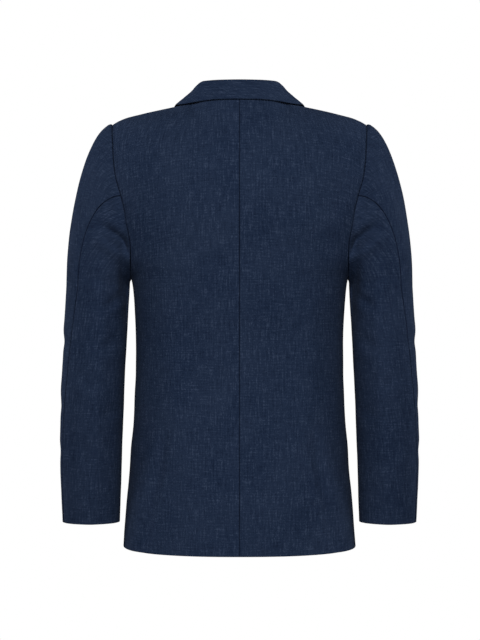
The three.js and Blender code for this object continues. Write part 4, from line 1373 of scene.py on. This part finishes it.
@dataclass
class Panel:
    """One cut piece of cloth: a closed thin shell on its form, with its edges turned.

    The stations are values across and along the form at which the cloth has points. The
    edges come as start and end across, then start and end along. The trims are how far
    they are drawn in, and painted_shade_inside how far inside each edge the painted shade
    of its seam line lies, in millimetres; painted_shade_steps are extra stations that keep
    that painted shade narrow. Bindings go behind the bound edges, above a height.
    """

    name: str
    surface: Surface
    across: Array
    along: Array
    facing: int
    edges: tuple[Edge, Edge, Edge, Edge]
    trims: tuple[object, object, object, object]
    flat: tuple[float, float]
    area: float
    cloth: ClothFinish
    rests_on: tuple[str, ...] = ()
    side: Side = Side.LEFT
    creases: Sequence[Crease] = ()
    held: str = "hung"
    turn_up: float = 0
    turn_up_edge: int = 2
    turned_thickness: float = 0.9
    turned_ease: float = 1.5
    turned_fade: Span = (0.5, 3)
    swell: Callable[[Array, Array, Array], Array] | None = None
    uv_start: tuple[float, float] = (0, 0)
    grain: Grain = Grain.EDGE
    edge_steps: tuple[float, ...] = (0, 0.15, 0.4, 0.8, 1.3)
    painted_shade_steps: tuple[float, ...] = ()
    painted_shade_inside: tuple[float, float, float, float] = (0, 0, 0, 0)
    fold_width: float = 0.9
    fold_core: float = 0.04
    seam_turn: float = 1.45
    swell_calm: float = 2
    crease_calm: float = 4
    # painted shade along the seams: where it starts to fade and where it is gone, and its most
    painted_groove_shade_span: Span = (0.2, 1.5)
    painted_groove_shade_most: float = 0.8
    bound: tuple[int, ...] = ()
    bound_above: float = -1000

    def fit(self, node: str) -> None:
        made = self.build()
        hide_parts(node)
        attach(made, BODY)
        log.info("%s: %d faces", made.name, len(made.data.polygons))

    def build(self) -> bpy.types.Object:
        """The shell's object, in its cloth."""
        u, v = self._stations()
        places = self.surface(u, v)
        normals = self._cross(places) * self.facing
        from_edges = self._edge_distances(places)
        if self.side is Side.RIGHT:
            places, normals = places * MIRROR, normals * MIRROR
        from_seam = self._nearest_seam(from_edges)
        rise = sum((crease.rise(places, normals) for crease in self.creases), np.zeros(u.shape))
        rise = rise * smoothstep(from_seam, 0, self.crease_calm)
        if self.swell is not None:
            calm = smoothstep(from_seam, 0, self.swell_calm)
            rise = rise + self.swell(places, normals, np.stack([u, v])) * calm
        moved = places + normals * rise[..., None]
        lean = self._cross(moved)
        lean = lean * np.sign(dots(lean, normals))
        outer_dip, inner_rise = self._edge_turns(from_edges)
        wall = WALL + self._hem_thickness(from_edges)
        outer = moved - lean * outer_dip[..., None]
        inner = moved - lean * (wall - inner_rise)[..., None]
        self._bind(moved, lean)
        made = self._object(outer, inner, self._uvs(places), normals)
        # painted shade: the colour darkens towards each sewn edge's line, in place of the shadow
        # in the seam's groove
        inside = [run - past for run, past in zip(from_edges, self.painted_shade_inside)]
        painted_groove_shade = 1 - smoothstep(self._nearest_seam(inside), *self.painted_groove_shade_span)
        mask = made.data.attributes.new(self.cloth.painted_groove_shade_mask, "FLOAT", "POINT")
        both = np.tile(painted_groove_shade.ravel() * self.painted_groove_shade_most, 2)
        mask.data.foreach_set("value", both.astype(np.float32))
        made.data.materials.append(self.cloth.material())
        return made

    def _nearest_seam(self, from_edges: Sequence[Array]) -> Array:
        """Distance from the nearest sewn edge, far where no edge is sewn."""
        sewn = [run for edge, run in zip(self.edges, from_edges) if edge is Edge.SEAM]
        return np.min(sewn, axis=0) if sewn else np.full(from_edges[0].shape, self.crease_calm)

    def _bind(self, moved: Array, lean: Array) -> None:
        """Lays a narrow binding behind each bound seam, inside the garment."""
        cut = {0: np.s_[:, 0], 1: np.s_[:, -1], 2: np.s_[0], 3: np.s_[-1]}
        for number, edge in enumerate(self.bound):
            line, out = moved[cut[edge]], lean[cut[edge]]
            kept = line[:, 2] > self.bound_above
            name = f"binding_{self.name}_{number}"
            SeamBinding(name, line[kept], out[kept]).build(self.cloth)

    def _stations(self) -> tuple[Array, Array]:
        """Values across and along the form for every point of the cloth's grid."""
        across, along = self.across, self.along
        base = self.surface(*np.meshgrid(across, along))
        across_run, along_run = self._run(base, 1), self._run(base, 0)
        rows = [
            np.interp(self._spread(run, *self.trims[:2], at), run, across)
            for run, at in zip(across_run, along)
        ]
        columns = [
            np.interp(self._spread(run, *self.trims[2:], at), run, along)
            for run, at in zip(along_run.T, across)
        ]
        rows, columns = np.stack(rows), np.stack(columns, axis=1)
        middle = columns[:, columns.shape[1] // 2]
        u = np.stack([np.interp(middle, along, row) for row in rows.T], axis=1)
        v = np.stack([np.interp(place, across, column) for place, column in zip(u, columns)])
        return u, v

    def _spread(self, run: Array, first: object, last: object, at: float) -> Array:
        """Distances from one edge to the other: close together by the edges."""
        start, end = (float(trim(at) if callable(trim) else trim) for trim in (first, last))
        steps = np.array(self.edge_steps + self.painted_shade_steps)
        low, high = start + steps, run[-1] - end - steps[::-1]
        middle = low[-1] + (high[0] - low[-1]) * (run[1:-1] / run[-1])
        return np.concatenate([low, middle, high])

    @staticmethod
    def _run(places: Array, axis: int) -> Array:
        """Length travelled along one axis of a grid."""
        steps = lengths(np.diff(places, axis=axis))[..., 0]
        return np.insert(np.cumsum(steps, axis=axis), 0, 0, axis=axis)

    @staticmethod
    def _cross(places: Array) -> Array:
        """Unit normals of the grid, across turned into along."""
        return unit(np.cross(np.gradient(places, axis=1), np.gradient(places, axis=0)))

    def _edge_distances(self, places: Array) -> tuple[Array, Array, Array, Array]:
        """Distance of every point from each of the four edges."""
        across_run, along_run = self._run(places, 1), self._run(places, 0)
        from_ends = across_run[:, -1:] - across_run, along_run[-1:, :] - along_run
        return across_run, from_ends[0], along_run, from_ends[1]

    def _edge_turns(self, from_edges: tuple[Array, Array, Array, Array]) -> tuple[Array, Array]:
        """How far the outer layer sinks and the inner one rises towards the edges."""
        outer, inner = np.zeros(from_edges[0].shape), np.zeros(from_edges[0].shape)
        for edge, distance in zip(self.edges, from_edges):
            is_seam = edge is Edge.SEAM
            depth = self.seam_turn if is_seam else WALL / 2 - self.fold_core
            width = self.edge_steps[-1] if is_seam else self.fold_width
            left = np.clip(1 - distance / width, 0, 1)
            turn = depth * (1 - np.sqrt(1 - left**2))
            outer = np.maximum(outer, turn)
            if edge is Edge.FOLD:
                inner = np.maximum(inner, turn)
        return outer, inner

    def _hem_thickness(self, from_edges: tuple[Array, Array, Array, Array]) -> Array:
        """Extra thickness inside where the hem is turned up."""
        if not self.turn_up:
            return np.zeros(from_edges[0].shape)
        distance = from_edges[self.turn_up_edge]
        inside = np.minimum(from_edges[0], from_edges[1])
        fade = smoothstep(inside, 0, self.turned_fade[1]) * smoothstep(distance, *self.turned_fade)
        past = smoothstep(distance, self.turn_up - self.turned_ease, self.turn_up)
        return self.turned_thickness * (1 - past) * fade

    def _uvs(self, places: Array) -> Array:
        """Place of each point on the flat cloth, in metres."""
        across_run, along_run = self._run(places, 1), self._run(places, 0)
        if self.grain is Grain.MIDDLE:
            middle = across_run.shape[1] // 2
            across_run = across_run - across_run[:, middle : middle + 1]
            along_run = along_run - along_run[-1:, :]
        elif self.grain is Grain.CENTRE:
            across_run = across_run + np.abs(places[:, :1, 0])
        u = self.uv_start[0] + across_run * MM
        v = self.uv_start[1] + along_run * MM
        return np.stack([u, v], axis=-1).reshape(-1, 2)

    def _object(self, outer: Array, inner: Array, uvs: Array, normals: Array) -> bpy.types.Object:
        """Mesh object of the two layers and the rim that joins them."""
        rows, columns = outer.shape[:2]
        count = rows * columns
        index = np.arange(count).reshape(rows, columns)
        corners = [index[:-1, :-1], index[:-1, 1:], index[1:, 1:], index[1:, :-1]]
        face = np.stack(corners, axis=-1).reshape(-1, 4)
        rim = np.concatenate([index[0, :-1], index[:-1, -1], index[-1, :0:-1], index[:0:-1, 0]])
        ahead = np.roll(rim, -1)
        sides = np.stack([ahead, rim, rim + count, ahead + count], axis=-1)
        faces = np.concatenate([face, face[:, ::-1] + count, sides])
        row, column = rows // 2, columns // 2
        middle = outer[row, column]
        turned = np.cross(outer[row, column + 1] - middle, outer[row + 1, column] - middle)
        if np.dot(turned, normals[row, column]) < 0:
            faces = faces[:, ::-1]
        places = np.concatenate([outer.reshape(-1, 3), inner.reshape(-1, 3)])
        return mesh_object(self.name, places, faces.tolist(), np.tile(uvs, (2, 1)))


# Sub-assemblies


# Height of each unevenness, then its two crossed waves: slope along x, y and z, and phase
UNEVENNESS = (
    (0.3, ((1 / 23, 0, 1 / 41), 0.7), ((0, -1 / 31, 1 / 29), 1.9)),
    (0.1, ((1 / 11, 0, -1 / 17), 2.3), ((0, 1 / 15, 1 / 13), 0.4)),
)


def undulation(places: Array, normals: Array, _: Array) -> Array:
    """The slight unevenness that no worn cloth is without."""
    rise = np.zeros(places.shape[:-1])
    for height, *waves in UNEVENNESS:
        crossed = [np.sin(places @ np.array(slope) + phase) for slope, phase in waves]
        rise += height * crossed[0] * crossed[1]
    return rise


def on_side(creases: Sequence[Crease], side: Side) -> list[Crease]:
    """Creases drawn for the wearer's left, turned over where the side is the right."""
    if side is Side.LEFT:
        return list(creases)
    made = []
    for crease in creases:
        if crease.view is View.LEFT:
            made.append(replace(crease, view=View.RIGHT))
        else:
            points = tuple((-first, second) for first, second in crease.points[::-1])
            made.append(replace(crease, points=points))
    return made


@dataclass
class BodyCloth:
    """The body's six pieces: two backs, two side bodies and two fronts."""

    form: BodyForm
    finish: ClothFinish
    back_flat: tuple[float, float] = (0.245, 0.775)
    back_area: float = 0.156
    side_flat: tuple[float, float] = (0.130, 0.460)
    side_area: float = 0.049
    front_flat: tuple[float, float] = (0.190, 0.840)
    front_area: float = 0.118
    hem_turn_up: float = 38
    level_counts: tuple[int, int] = (156, 34)
    back_count: int = 54
    side_counts: tuple[int, int] = (36, 116)
    front_count: int = 52
    centre_overlap: float = 0.002
    # the centre seam's painted shade lies this far inside the overlapped edge, with extra stations
    # that keep it narrow
    centre_painted_shade_inside: float = 1.15
    centre_painted_shade_steps: tuple[float, float] = (2.0, 2.8)
    back_creases: tuple[Crease, ...] = ()
    front_creases: tuple[Crease, ...] = ()

    def build(self) -> None:
        """Makes and dresses the pieces."""
        levels = runs((0, 1, 2), self.level_counts)
        for side in Side:
            common = {
                "trims": EVEN_TRIMS,
                "cloth": self.finish,
                "side": side,
                "turn_up": self.hem_turn_up,
                "swell": undulation,
            }
            self._back(side, levels, common)
            self._side(side, common)
            self._front(side, levels, common)

    def _back(self, side: Side, levels: Array, common: dict[str, object]) -> None:
        """One back. The two overlap at the centre, where the painted shade of their seam line lies
        inside the edge.
        """
        Panel(
            name=f"cloth_back_{side.word}",
            surface=self.form.back_point,
            across=np.linspace(-self.centre_overlap, 1, self.back_count),
            along=levels,
            facing=-1,
            edges=HEM_OPEN,
            flat=self.back_flat,
            area=self.back_area,
            rests_on=("collar", f"front_{side.word}"),
            creases=on_side(self.back_creases, side),
            uv_start=(0.3 * side.value, 0),
            painted_shade_steps=self.centre_painted_shade_steps,
            painted_shade_inside=(self.centre_painted_shade_inside, 0, 0, 0),
            bound=(0, 1) if side is Side.LEFT else (1,),
            **common,
        ).fit(f"back_{side.word}")

    def _side(self, side: Side, common: dict[str, object]) -> None:
        """One side body."""
        across, along = self.side_counts
        Panel(
            name=f"cloth_side_{side.word}",
            surface=self.form.side_point,
            across=np.linspace(0, 1, across),
            along=np.linspace(0, 1, along),
            facing=-1,
            edges=HEM_OPEN,
            flat=self.side_flat,
            area=self.side_area,
            rests_on=(f"back_{side.word}", f"front_{side.word}"),
            creases=on_side(self.back_creases + self.front_creases, side),
            uv_start=(0.9 * side.value, 0.011),
            **common,
        ).fit(f"side_{side.word}")

    def _front(self, side: Side, levels: Array, common: dict[str, object]) -> None:
        """One front. The right one lies under the left."""
        form = self.form
        Panel(
            name=f"cloth_front_{side.word}",
            surface=form.front_point if side is Side.LEFT else form.under_front_point,
            across=np.linspace(0, 1, self.front_count),
            along=levels,
            facing=1,
            edges=(Edge.FOLD, Edge.SEAM, Edge.FOLD, Edge.SEAM),
            flat=self.front_flat,
            area=self.front_area,
            rests_on=(f"back_{side.word}",),
            creases=on_side(self.front_creases, side),
            grain=Grain.CENTRE,
            uv_start=(1.5 * side.value, 0.007),
            bound=(1, 3),
            **common,
        ).fit(f"front_{side.word}")


@dataclass
class Sleeves:
    """A top sleeve and an under sleeve on each side, with roped heads and cuff vents."""

    form: SleeveForm
    finish: ClothFinish
    top_flat: tuple[float, float] = (0.230, 0.675)
    top_area: float = 0.108
    top_count: int = 76
    under_flat: tuple[float, float] = (0.190, 0.570)
    under_area: float = 0.084
    under_count: int = 52
    level_counts: tuple[int, int] = (60, 104)
    cuff_turn_up: float = 38
    rope_height: float = 1.3
    rope_level: float = 0.035
    rope_width: float = 0.045
    rope_heights: Span = (-120, -30)
    underlap_reach: float = 12
    underlap_above: float = 14
    underlap_depth: float = 3.1
    underlap_trim: float = 0.6
    underlap_flat: tuple[float, float] = (0.018, 0.090)
    underlap_counts: tuple[int, int] = (14, 30)
    creases: tuple[Crease, ...] = ()

    def build(self) -> None:
        """Makes and dresses the pieces."""
        form = self.form
        elbow, forearm, vent = form.elbow_length, form.forearm_length, form.vent_trim
        for side in Side:
            self._piece(
                f"sleeve_top_{side.word}",
                np.linspace(forearm, form.turn + elbow, self.top_count),
                (SEWN, vent, SEWN, SEWN),
                (self.top_flat, self.top_area),
                side,
            )
            self._piece(
                f"sleeve_under_{side.word}",
                np.linspace(elbow, forearm, self.under_count),
                (vent, SEWN, SEWN, SEWN),
                (self.under_flat, self.under_area),
                side,
            )
            self._underlap(side)

    def _piece(
        self,
        node: str,
        across: Array,
        trims: tuple[object, ...],
        cut: tuple[tuple[float, float], float],
        side: Side,
    ) -> None:
        """Builds one piece of a sleeve and ties it to its node."""
        Panel(
            name=f"cloth_{node}",
            surface=self.form.point,
            across=across,
            along=runs((0, 1, 2), self.level_counts),
            facing=-1,
            edges=(Edge.SEAM, Edge.SEAM, Edge.SEAM, Edge.FOLD),
            trims=trims,
            flat=cut[0],
            area=cut[1],
            cloth=self.finish,
            rests_on=(f"back_{side.word}", f"front_{side.word}"),
            side=side,
            creases=on_side(self.creases, side),
            turn_up=self.cuff_turn_up,
            turn_up_edge=3,
            swell=self._head,
            grain=Grain.MIDDLE,
            uv_start=(2.3 * side.value, 0.003),
            bound=(0, 2),
            bound_above=self.form.vent_top_z,
        ).fit(node)

    def _underlap(self, side: Side) -> None:
        """The under sleeve's own edge, carried on behind the open vent."""
        form, (across, along) = self.form, self.underlap_counts
        elbow, reach = form.elbow_length, self.underlap_reach
        made = Panel(
            name=f"vent_underlap_{side.word}",
            surface=form.point,
            across=np.linspace(elbow - reach, elbow + reach, across),
            along=np.linspace(form.level_of(form.vent_top_z + self.underlap_above), 2, along),
            facing=-1,
            edges=ALL_FOLDED,
            trims=(SEWN, SEWN, SEWN, self.underlap_trim),
            flat=self.underlap_flat,
            area=self.underlap_flat[0] * self.underlap_flat[1],
            cloth=self.finish,
            side=side,
            swell=self._inside,
            grain=Grain.MIDDLE,
            uv_start=(2.7 * side.value, 0.003),
        ).build()
        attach(made, BODY)

    def _inside(self, places: Array, normals: Array, stations: Array) -> Array:
        """How far the underlap lies behind the sleeve's outer face."""
        return np.full(places.shape[:-1], -self.underlap_depth)

    def _head(self, places: Array, normals: Array, stations: Array) -> Array:
        """Rise of the roped head beside the armhole, over the cloth's unevenness."""
        rope = np.exp(-(((stations[1] - self.rope_level) / self.rope_width) ** 2))
        high = smoothstep(places[..., 2], *self.rope_heights)
        return self.rope_height * rope * high + undulation(places, normals, stations)


@dataclass
class CollarAndLapels:
    """The collar in one piece and the two lapels that it meets at the gorge."""

    collar: CollarForm
    lapel: LapelForm
    finish: ClothFinish
    collar_flat: tuple[float, float] = (0.065, 0.595)
    collar_area: float = 0.030
    collar_counts: tuple[int, int, int] = (9, 13, 16)
    collar_along: int = 181
    lapel_flat: tuple[float, float] = (0.090, 0.310)
    lapel_area: float = 0.0145
    lapel_counts: tuple[int, int] = (12, 26)
    lapel_along: int = 90
    lapel_start: float = 0.02
    under_start: float = 0.17

    def build(self) -> None:
        """Makes and dresses the three pieces."""
        common = {"facing": 1, "edges": ROLLED, "cloth": self.finish, "held": "folded"}
        for side in Side:
            is_under = side is Side.RIGHT
            start = self.under_start if is_under else self.lapel_start
            Panel(
                name=f"cloth_lapel_{side.word}",
                surface=lambda u, v, under=is_under: self.lapel.point(u, v, under),
                across=runs((0, self.lapel.roll_share, 1), self.lapel_counts),
                along=np.linspace(start, 1, self.lapel_along),
                trims=(SEWN, SEWN, SEWN, GORGE_GAP),
                flat=self.lapel_flat,
                area=self.lapel_area,
                rests_on=(f"front_{side.word}",),
                side=side,
                uv_start=(3.1 * side.value, 0.004),
                **common,
            ).fit(f"lapel_{side.word}")
        shares = (0, self.collar.stand_share, self.collar.fold_share, 1)
        Panel(
            name="cloth_collar",
            surface=self.collar.point,
            across=runs(shares, self.collar_counts),
            along=np.linspace(-2, 2, self.collar_along),
            trims=(SEWN, SEWN, GORGE_GAP, GORGE_GAP),
            flat=self.collar_flat,
            area=self.collar_area,
            rests_on=("back_left", "back_right"),
            uv_start=(4.1, 0.002),
            **common,
        ).fit("collar")


def deselect_all() -> None:
    """Leaves nothing selected, so that the next operator acts on its own piece alone."""
    bpy.ops.object.select_all(action="DESELECT")


def select_only(piece: bpy.types.Object) -> None:
    """Selects one piece and makes it the active one."""
    deselect_all()
    piece.select_set(True)
    bpy.context.view_layer.objects.active = piece


@dataclass
class Buttons:
    """Two dished four-hole buttons sewn to the centre front, with their buttonholes."""

    front: PanelMap
    finish: ButtonFinish
    thread: ThreadFinish
    radius: float = 0.010
    height: float = 0.0026
    rim: float = 0.0016
    rim_slope: float = 0.0005
    dish: float = 0.0007
    dish_width: float = 0.00208
    dish_rise: float = 0.25
    bevel: float = 0.0005
    bevel_angle: float = 50
    smooth_angle: float = 35
    hole_radius: float = 0.0009
    hole_spread: float = 0.0019
    strand: float = 0.00036
    strand_beside: float = 0.95
    loop_height: float = 0.62
    loop_middle: float = 0.72
    hole_length: float = 22
    hole_start: float = -1
    purl: float = 0.9
    purl_turn: float = 1.25
    purl_end: float = 2.2
    purl_flat: float = 0.55
    purl_sink: float = -0.2
    heights: tuple[tuple[str, float], ...] = (("upper", -348), ("lower", -448))

    def build(self) -> None:
        """Makes and dresses the buttons, their thread and the buttonholes."""
        for word, z in self.heights:
            here, out = self.front.find(np.array([0.0]), np.array([float(z)]))
            turn = Vector((0, 0, 1)).rotation_difference(Vector(out[0].tolist()))
            matrix = turn.to_matrix().to_4x4()
            matrix.translation = Vector(((here[0] + out[0] * REST_GAP) * MM).tolist())
            button = self._button(f"horn_button_{word}")
            button.data.transform(matrix)
            button.data.materials.clear()
            button.data.materials.append(self.finish.material())
            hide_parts(f"button_{word}")
            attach(button, BODY)
            thread = self._thread(f"button_thread_{word}")
            thread.data.transform(matrix)
            for piece in (thread, self._buttonhole(f"buttonhole_{word}", z)):
                piece.data.materials.append(self.thread.material())
                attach(piece, BODY)
            log.info("button, thread and buttonhole: %s", word)

    def _button(self, name: str) -> bpy.types.Object:
        """One button, modelled flat on the ground plane."""
        deselect_all()
        bpy.ops.mesh.primitive_cylinder_add(
            vertices=64, radius=self.radius, depth=self.height, location=(0, 0, self.height / 2)
        )
        button = bpy.context.object
        button.name = name
        bpy.ops.object.transform_apply(location=True, rotation=True, scale=True)
        bpy.ops.object.mode_set(mode="EDIT")
        self._select_top(button)
        bpy.ops.mesh.inset(thickness=self.rim)
        bpy.ops.mesh.inset(thickness=self.rim_slope)
        bpy.ops.transform.translate(value=(0, 0, -self.dish))
        bpy.ops.mesh.inset(thickness=self.dish_width)
        bpy.ops.transform.translate(value=(0, 0, self.dish * self.dish_rise))
        bpy.ops.object.mode_set(mode="OBJECT")
        bevel = button.modifiers.new("rounded_rim", "BEVEL")
        bevel.width = self.bevel
        bevel.segments = 3
        bevel.limit_method = "ANGLE"
        bevel.angle_limit = math.radians(self.bevel_angle)
        bpy.ops.object.modifier_apply(modifier=bevel.name)
        for x in (-1, 1):
            for y in (-1, 1):
                self._drill(button, x * self.hole_spread, y * self.hole_spread)
        select_only(button)
        bpy.ops.object.shade_smooth_by_angle(angle=math.radians(self.smooth_angle))
        return button

    @staticmethod
    def _select_top(piece: bpy.types.Object) -> None:
        """Selects the highest face while in edit mode."""
        bpy.ops.mesh.select_mode(type="FACE")
        bpy.ops.mesh.select_all(action="DESELECT")
        bpy.ops.object.mode_set(mode="OBJECT")
        max(piece.data.polygons, key=lambda face: face.center.z).select = True
        bpy.ops.object.mode_set(mode="EDIT")

    def _drill(self, button: bpy.types.Object, x: float, y: float) -> None:
        """Cuts one thread hole through the button."""
        deselect_all()
        bpy.ops.mesh.primitive_cylinder_add(
            vertices=20, radius=self.hole_radius, depth=4 * self.height, location=(x, y, 0)
        )
        drill = bpy.context.object
        select_only(button)
        cut = button.modifiers.new("thread_hole", "BOOLEAN")
        cut.object = drill
        cut.operation = "DIFFERENCE"
        cut.solver = "EXACT"
        bpy.ops.object.modifier_apply(modifier=cut.name)
        bpy.data.objects.remove(drill)

    def _thread(self, name: str) -> bpy.types.Object:
        """Four loops of thread that go through the holes in two pairs."""
        middle = (self.height - self.dish) * self.loop_middle
        loops = []
        for y in (-1, 1):
            for beside in (-1, 1):
                deselect_all()
                bpy.ops.mesh.primitive_torus_add(
                    major_radius=self.hole_spread,
                    minor_radius=self.strand,
                    major_segments=28,
                    minor_segments=8,
                    rotation=(math.pi / 2, 0, 0),
                )
                loop = bpy.context.object
                loop.scale = (1, self.loop_height, 1)
                bpy.ops.object.transform_apply(location=False, rotation=True, scale=True)
                offset = y * self.hole_spread + beside * self.strand * self.strand_beside
                loop.data.transform(Matrix.Translation((0, offset, middle)))
                loops.append(loop)
        deselect_all()
        for loop in loops:
            loop.select_set(True)
        bpy.context.view_layer.objects.active = loops[0]
        bpy.ops.object.join()
        thread = bpy.context.object
        thread.name = name
        bpy.ops.object.shade_smooth()
        return thread

    def _buttonhole(self, name: str, z: float) -> bpy.types.Object:
        """A stitched buttonhole: a flattened ring of purl laid on the cloth."""
        deselect_all()
        bpy.ops.mesh.primitive_torus_add(
            major_radius=self.purl * self.purl_turn,
            minor_radius=self.purl,
            major_segments=96,
            minor_segments=10,
        )
        hole = bpy.context.object
        hole.name = name
        places = np.array([vertex.co for vertex in hole.data.vertices])
        stretch = (self.hole_length - 2 * self.purl) / 2
        turn = np.arctan2(places[:, 1], places[:, 0])
        places[:, 0] += stretch * np.clip(self.purl_end * np.cos(turn), -1, 1)
        places[:, 0] += self.hole_start + self.hole_length / 2
        foot, out = self.front.find(places[:, 0], z + places[:, 1])
        lift = np.maximum(places[:, 2], self.purl_sink) * self.purl_flat
        lifted = foot + out * lift[:, None]
        hole.data.vertices.foreach_set("co", (lifted * MM).astype(np.float32).ravel())
        hole.data.update()
        bpy.ops.object.shade_smooth()
        return hole


@dataclass(frozen=True)
class Lamp:
    """A soft square lamp that looks at a point."""

    name: str
    place: Triple
    aim: Triple
    size: float
    power: float

    def build(self) -> None:
        """Makes the lamp."""
        data = bpy.data.lights.new(self.name, "AREA")
        data.shape = "SQUARE"
        data.size = self.size
        data.energy = self.power
        lamp = bpy.data.objects.new(self.name, data)
        bpy.context.scene.collection.objects.link(lamp)
        lamp.location = self.place
        way = Vector(self.aim) - Vector(self.place)
        lamp.rotation_euler = way.to_track_quat("-Z", "Y").to_euler()


@dataclass
class Studio:
    """Camera at the photo's angle, soft lamps, white backdrop and a plain pale floor."""

    finish: PaleFinish
    camera_place: Triple = (-0.0008, 2.5, -0.316)
    lens: float = 86.8
    sensor: float = 36
    farthest: float = 60
    floor_z: float = -1.43
    floor_radius: float = 12
    backdrop: float = 1.0
    ambient: float = 0.012
    lamps: tuple[Lamp, ...] = (
        Lamp("key_above", (0, 2.6, 1.5), (0, 0, -0.6), 0.5, 74),
        Lamp("camera_side", (0, 3.0, -1.1), (0, 0, -0.5), 0.6, 34),
        Lamp("side_left", (2.3, -0.85, 0.6), (0.2, 0, -0.3), 0.5, 44),
        Lamp("side_right", (-2.3, -0.85, 0.6), (-0.2, 0, -0.3), 0.5, 44),
        Lamp("front_left", (1.5, -2.3, 0.9), (0.1, 0, -0.3), 1.0, 22),
        Lamp("front_right", (-1.5, -2.3, 0.7), (-0.1, 0, -0.3), 1.0, 16),
    )

    def build(self) -> None:
        """Makes the camera, lamps, backdrop and floor."""
        scene = bpy.context.scene
        data = bpy.data.cameras.new("camera")
        data.lens = self.lens
        data.sensor_width = self.sensor
        data.clip_end = self.farthest
        camera = bpy.data.objects.new("camera", data)
        scene.collection.objects.link(camera)
        camera.location = self.camera_place
        camera.rotation_euler = (math.pi / 2, 0, math.pi)
        scene.camera = camera
        for lamp in self.lamps:
            lamp.build()
        self._backdrop()
        self._floor()
        scene.view_settings.view_transform = "Standard"
        log.info("studio: %d lamps", len(self.lamps))

    def _floor(self) -> None:
        """A wide round floor under the garment."""
        deselect_all()
        bpy.ops.mesh.primitive_circle_add(
            vertices=96, radius=self.floor_radius, fill_type="NGON", location=(0, 0, 0)
        )
        floor = bpy.context.object
        floor.name = "floor"
        floor.data.transform(Matrix.Translation((0, 0, self.floor_z)))
        floor.data.materials.append(self.finish.material())

    def _backdrop(self) -> None:
        """White for the camera, dimmer as a light."""
        world = bpy.data.worlds.new("backdrop")
        bpy.context.scene.world = world
        world.use_nodes = True
        write = NodeWriter(world.node_tree)
        seen = write.node("ShaderNodeLightPath").outputs["Is Camera Ray"]
        strength = write.maths("MULTIPLY_ADD", seen, self.backdrop - self.ambient, self.ambient)
        background = world.node_tree.nodes["Background"]
        write.fill(background, {"Color": WHITE, "Strength": strength})


BACK_CREASES = (
    # soft band that runs down and out to the side of the hem
    Crease(View.BACK, ((114, -480), (126, -560), (140, -620), (156, -700)), 9, 4.6, 0.3),
    # hollow of the waist beside the side seam
    Crease(View.BACK, ((118, -240), (108, -350), (104, -420), (112, -530)), 24, -3.0, 0, 0.2),
    # faint rolls of the cloth across the shoulder blades
    Crease(View.BACK, ((46, -68), (96, -80), (158, -60)), 14, 1.2, 0.6),
    Crease(View.BACK, ((36, -104), (68, -98), (98, -112)), 11, 1.0, 0.6),
    Crease(View.BACK, ((60, -214), (112, -196), (168, -204)), 15, 0.8, 0.5),
    Crease(View.BACK, ((58, -330), (68, -420), (62, -540)), 16, 0.9, 0.5),
)

FRONT_CREASES = (
    Crease(View.FRONT, ((120, -300), (112, -400), (122, -520), (138, -660)), 15, 2.4, 0.5),
    Crease(View.FRONT, ((16, -352), (60, -366), (110, -404)), 9, 1.2, 0.6),
    Crease(View.FRONT, ((14, -340), (62, -316), (108, -268)), 10, 1.0, 0.6),
)

SLEEVE_CREASES = (
    # drag fold from the elbow seam over to the underarm, with a second one below it
    Crease(View.BACK, ((226, -166), (207, -176), (188, -190), (150, -216)), 10, 15, 0.35, 0.1),
    Crease(View.BACK, ((183, -140), (184, -190), (182, -240), (180, -330)), 8, 6, 0, 0.1),
    # the back of the sleeve stands out along its middle
    Crease(View.BACK, ((222, -150), (218, -300), (226, -450), (244, -690)), 13, -3.2, 0, 0.1),
    # dimple under the cap and a long shallow roll beside the elbow seam
    Crease(View.BACK, ((217, -112), (208, -126), (205, -148)), 7, 2.6, 0.5),
    Crease(View.BACK, ((247, -196), (240, -262), (243, -318)), 8, 1.0, 0.6),
    # soft diagonals down the back of the forearm, of uneven length
    Crease(View.BACK, ((233, -246), (216, -258), (193, -268)), 8, 2.2, 0.6, 0.2),
    Crease(View.BACK, ((216, -297), (200, -288), (184, -272)), 7, 2.8, 0.6, 0.15),
    Crease(View.BACK, ((226, -366), (204, -352), (190, -338)), 10, 2.2, 0.5, 0.2),
    Crease(View.BACK, ((262, -398), (240, -412), (208, -424)), 11, 1.5, 0.6, 0.2),
    Crease(View.BACK, ((222, -472), (203, -462), (194, -452)), 10, 1.6, 0.5, 0.2),
    Crease(View.BACK, ((266, -506), (244, -530), (238, -566)), 11, 1.0, 0.6, 0.2),
    # hidden front of the sleeve, about the elbow's bend
    Crease(View.FRONT, ((192, -250), (214, -268), (246, -270)), 9, 2.4, 0.7, 0.2),
    Crease(View.FRONT, ((194, -318), (222, -326), (256, -312)), 9, 2.8, 0.7, 0.2),
    Crease(View.FRONT, ((204, -372), (226, -384), (262, -374)), 10, 1.8, 0.7, 0.2),
    Crease(View.FRONT, ((204, -452), (230, -476), (240, -498)), 11, 1.4, 0.6, 0.2),
    # outer side
    Crease(View.LEFT, ((-30, -330), (0, -352), (34, -350)), 11, 1.6, 0.6, 0.2),
    Crease(View.LEFT, ((-40, -420), (-8, -444), (8, -470)), 12, 1.4, 0.6, 0.2),
    Crease(View.LEFT, ((-44, -520), (-14, -532), (14, -518)), 12, 1.0, 0.6, 0.2),
)


def main() -> None:
    """Builds the sub-assemblies in order."""
    logging.basicConfig(level=logging.INFO, format="%(name)s: %(message)s")
    cloth = ClothFinish()
    body = BodyForm()
    lookup_z = body.break_z - BELOW_BREAK
    front = PanelMap(body.front_point, 1, lookup_z)
    under = PanelMap(body.under_front_point, 1, lookup_z)
    back = PanelMap(body.back_point, -1, body.back_yoke_z)
    lapel = LapelForm(body, {False: front, True: under})
    BodyCloth(body, cloth, back_creases=BACK_CREASES, front_creases=FRONT_CREASES).build()
    Sleeves(SleeveForm(body), cloth, creases=SLEEVE_CREASES).build()
    CollarAndLapels(CollarForm(body, back, lapel), lapel, cloth).build()
    lower = PanelMap(body.front_point, 1, LOWEST_BUTTON_Z)
    Buttons(lower, ButtonFinish(), ThreadFinish()).build()
    Studio(PaleFinish()).build()


if __name__ == "__main__":
    main()
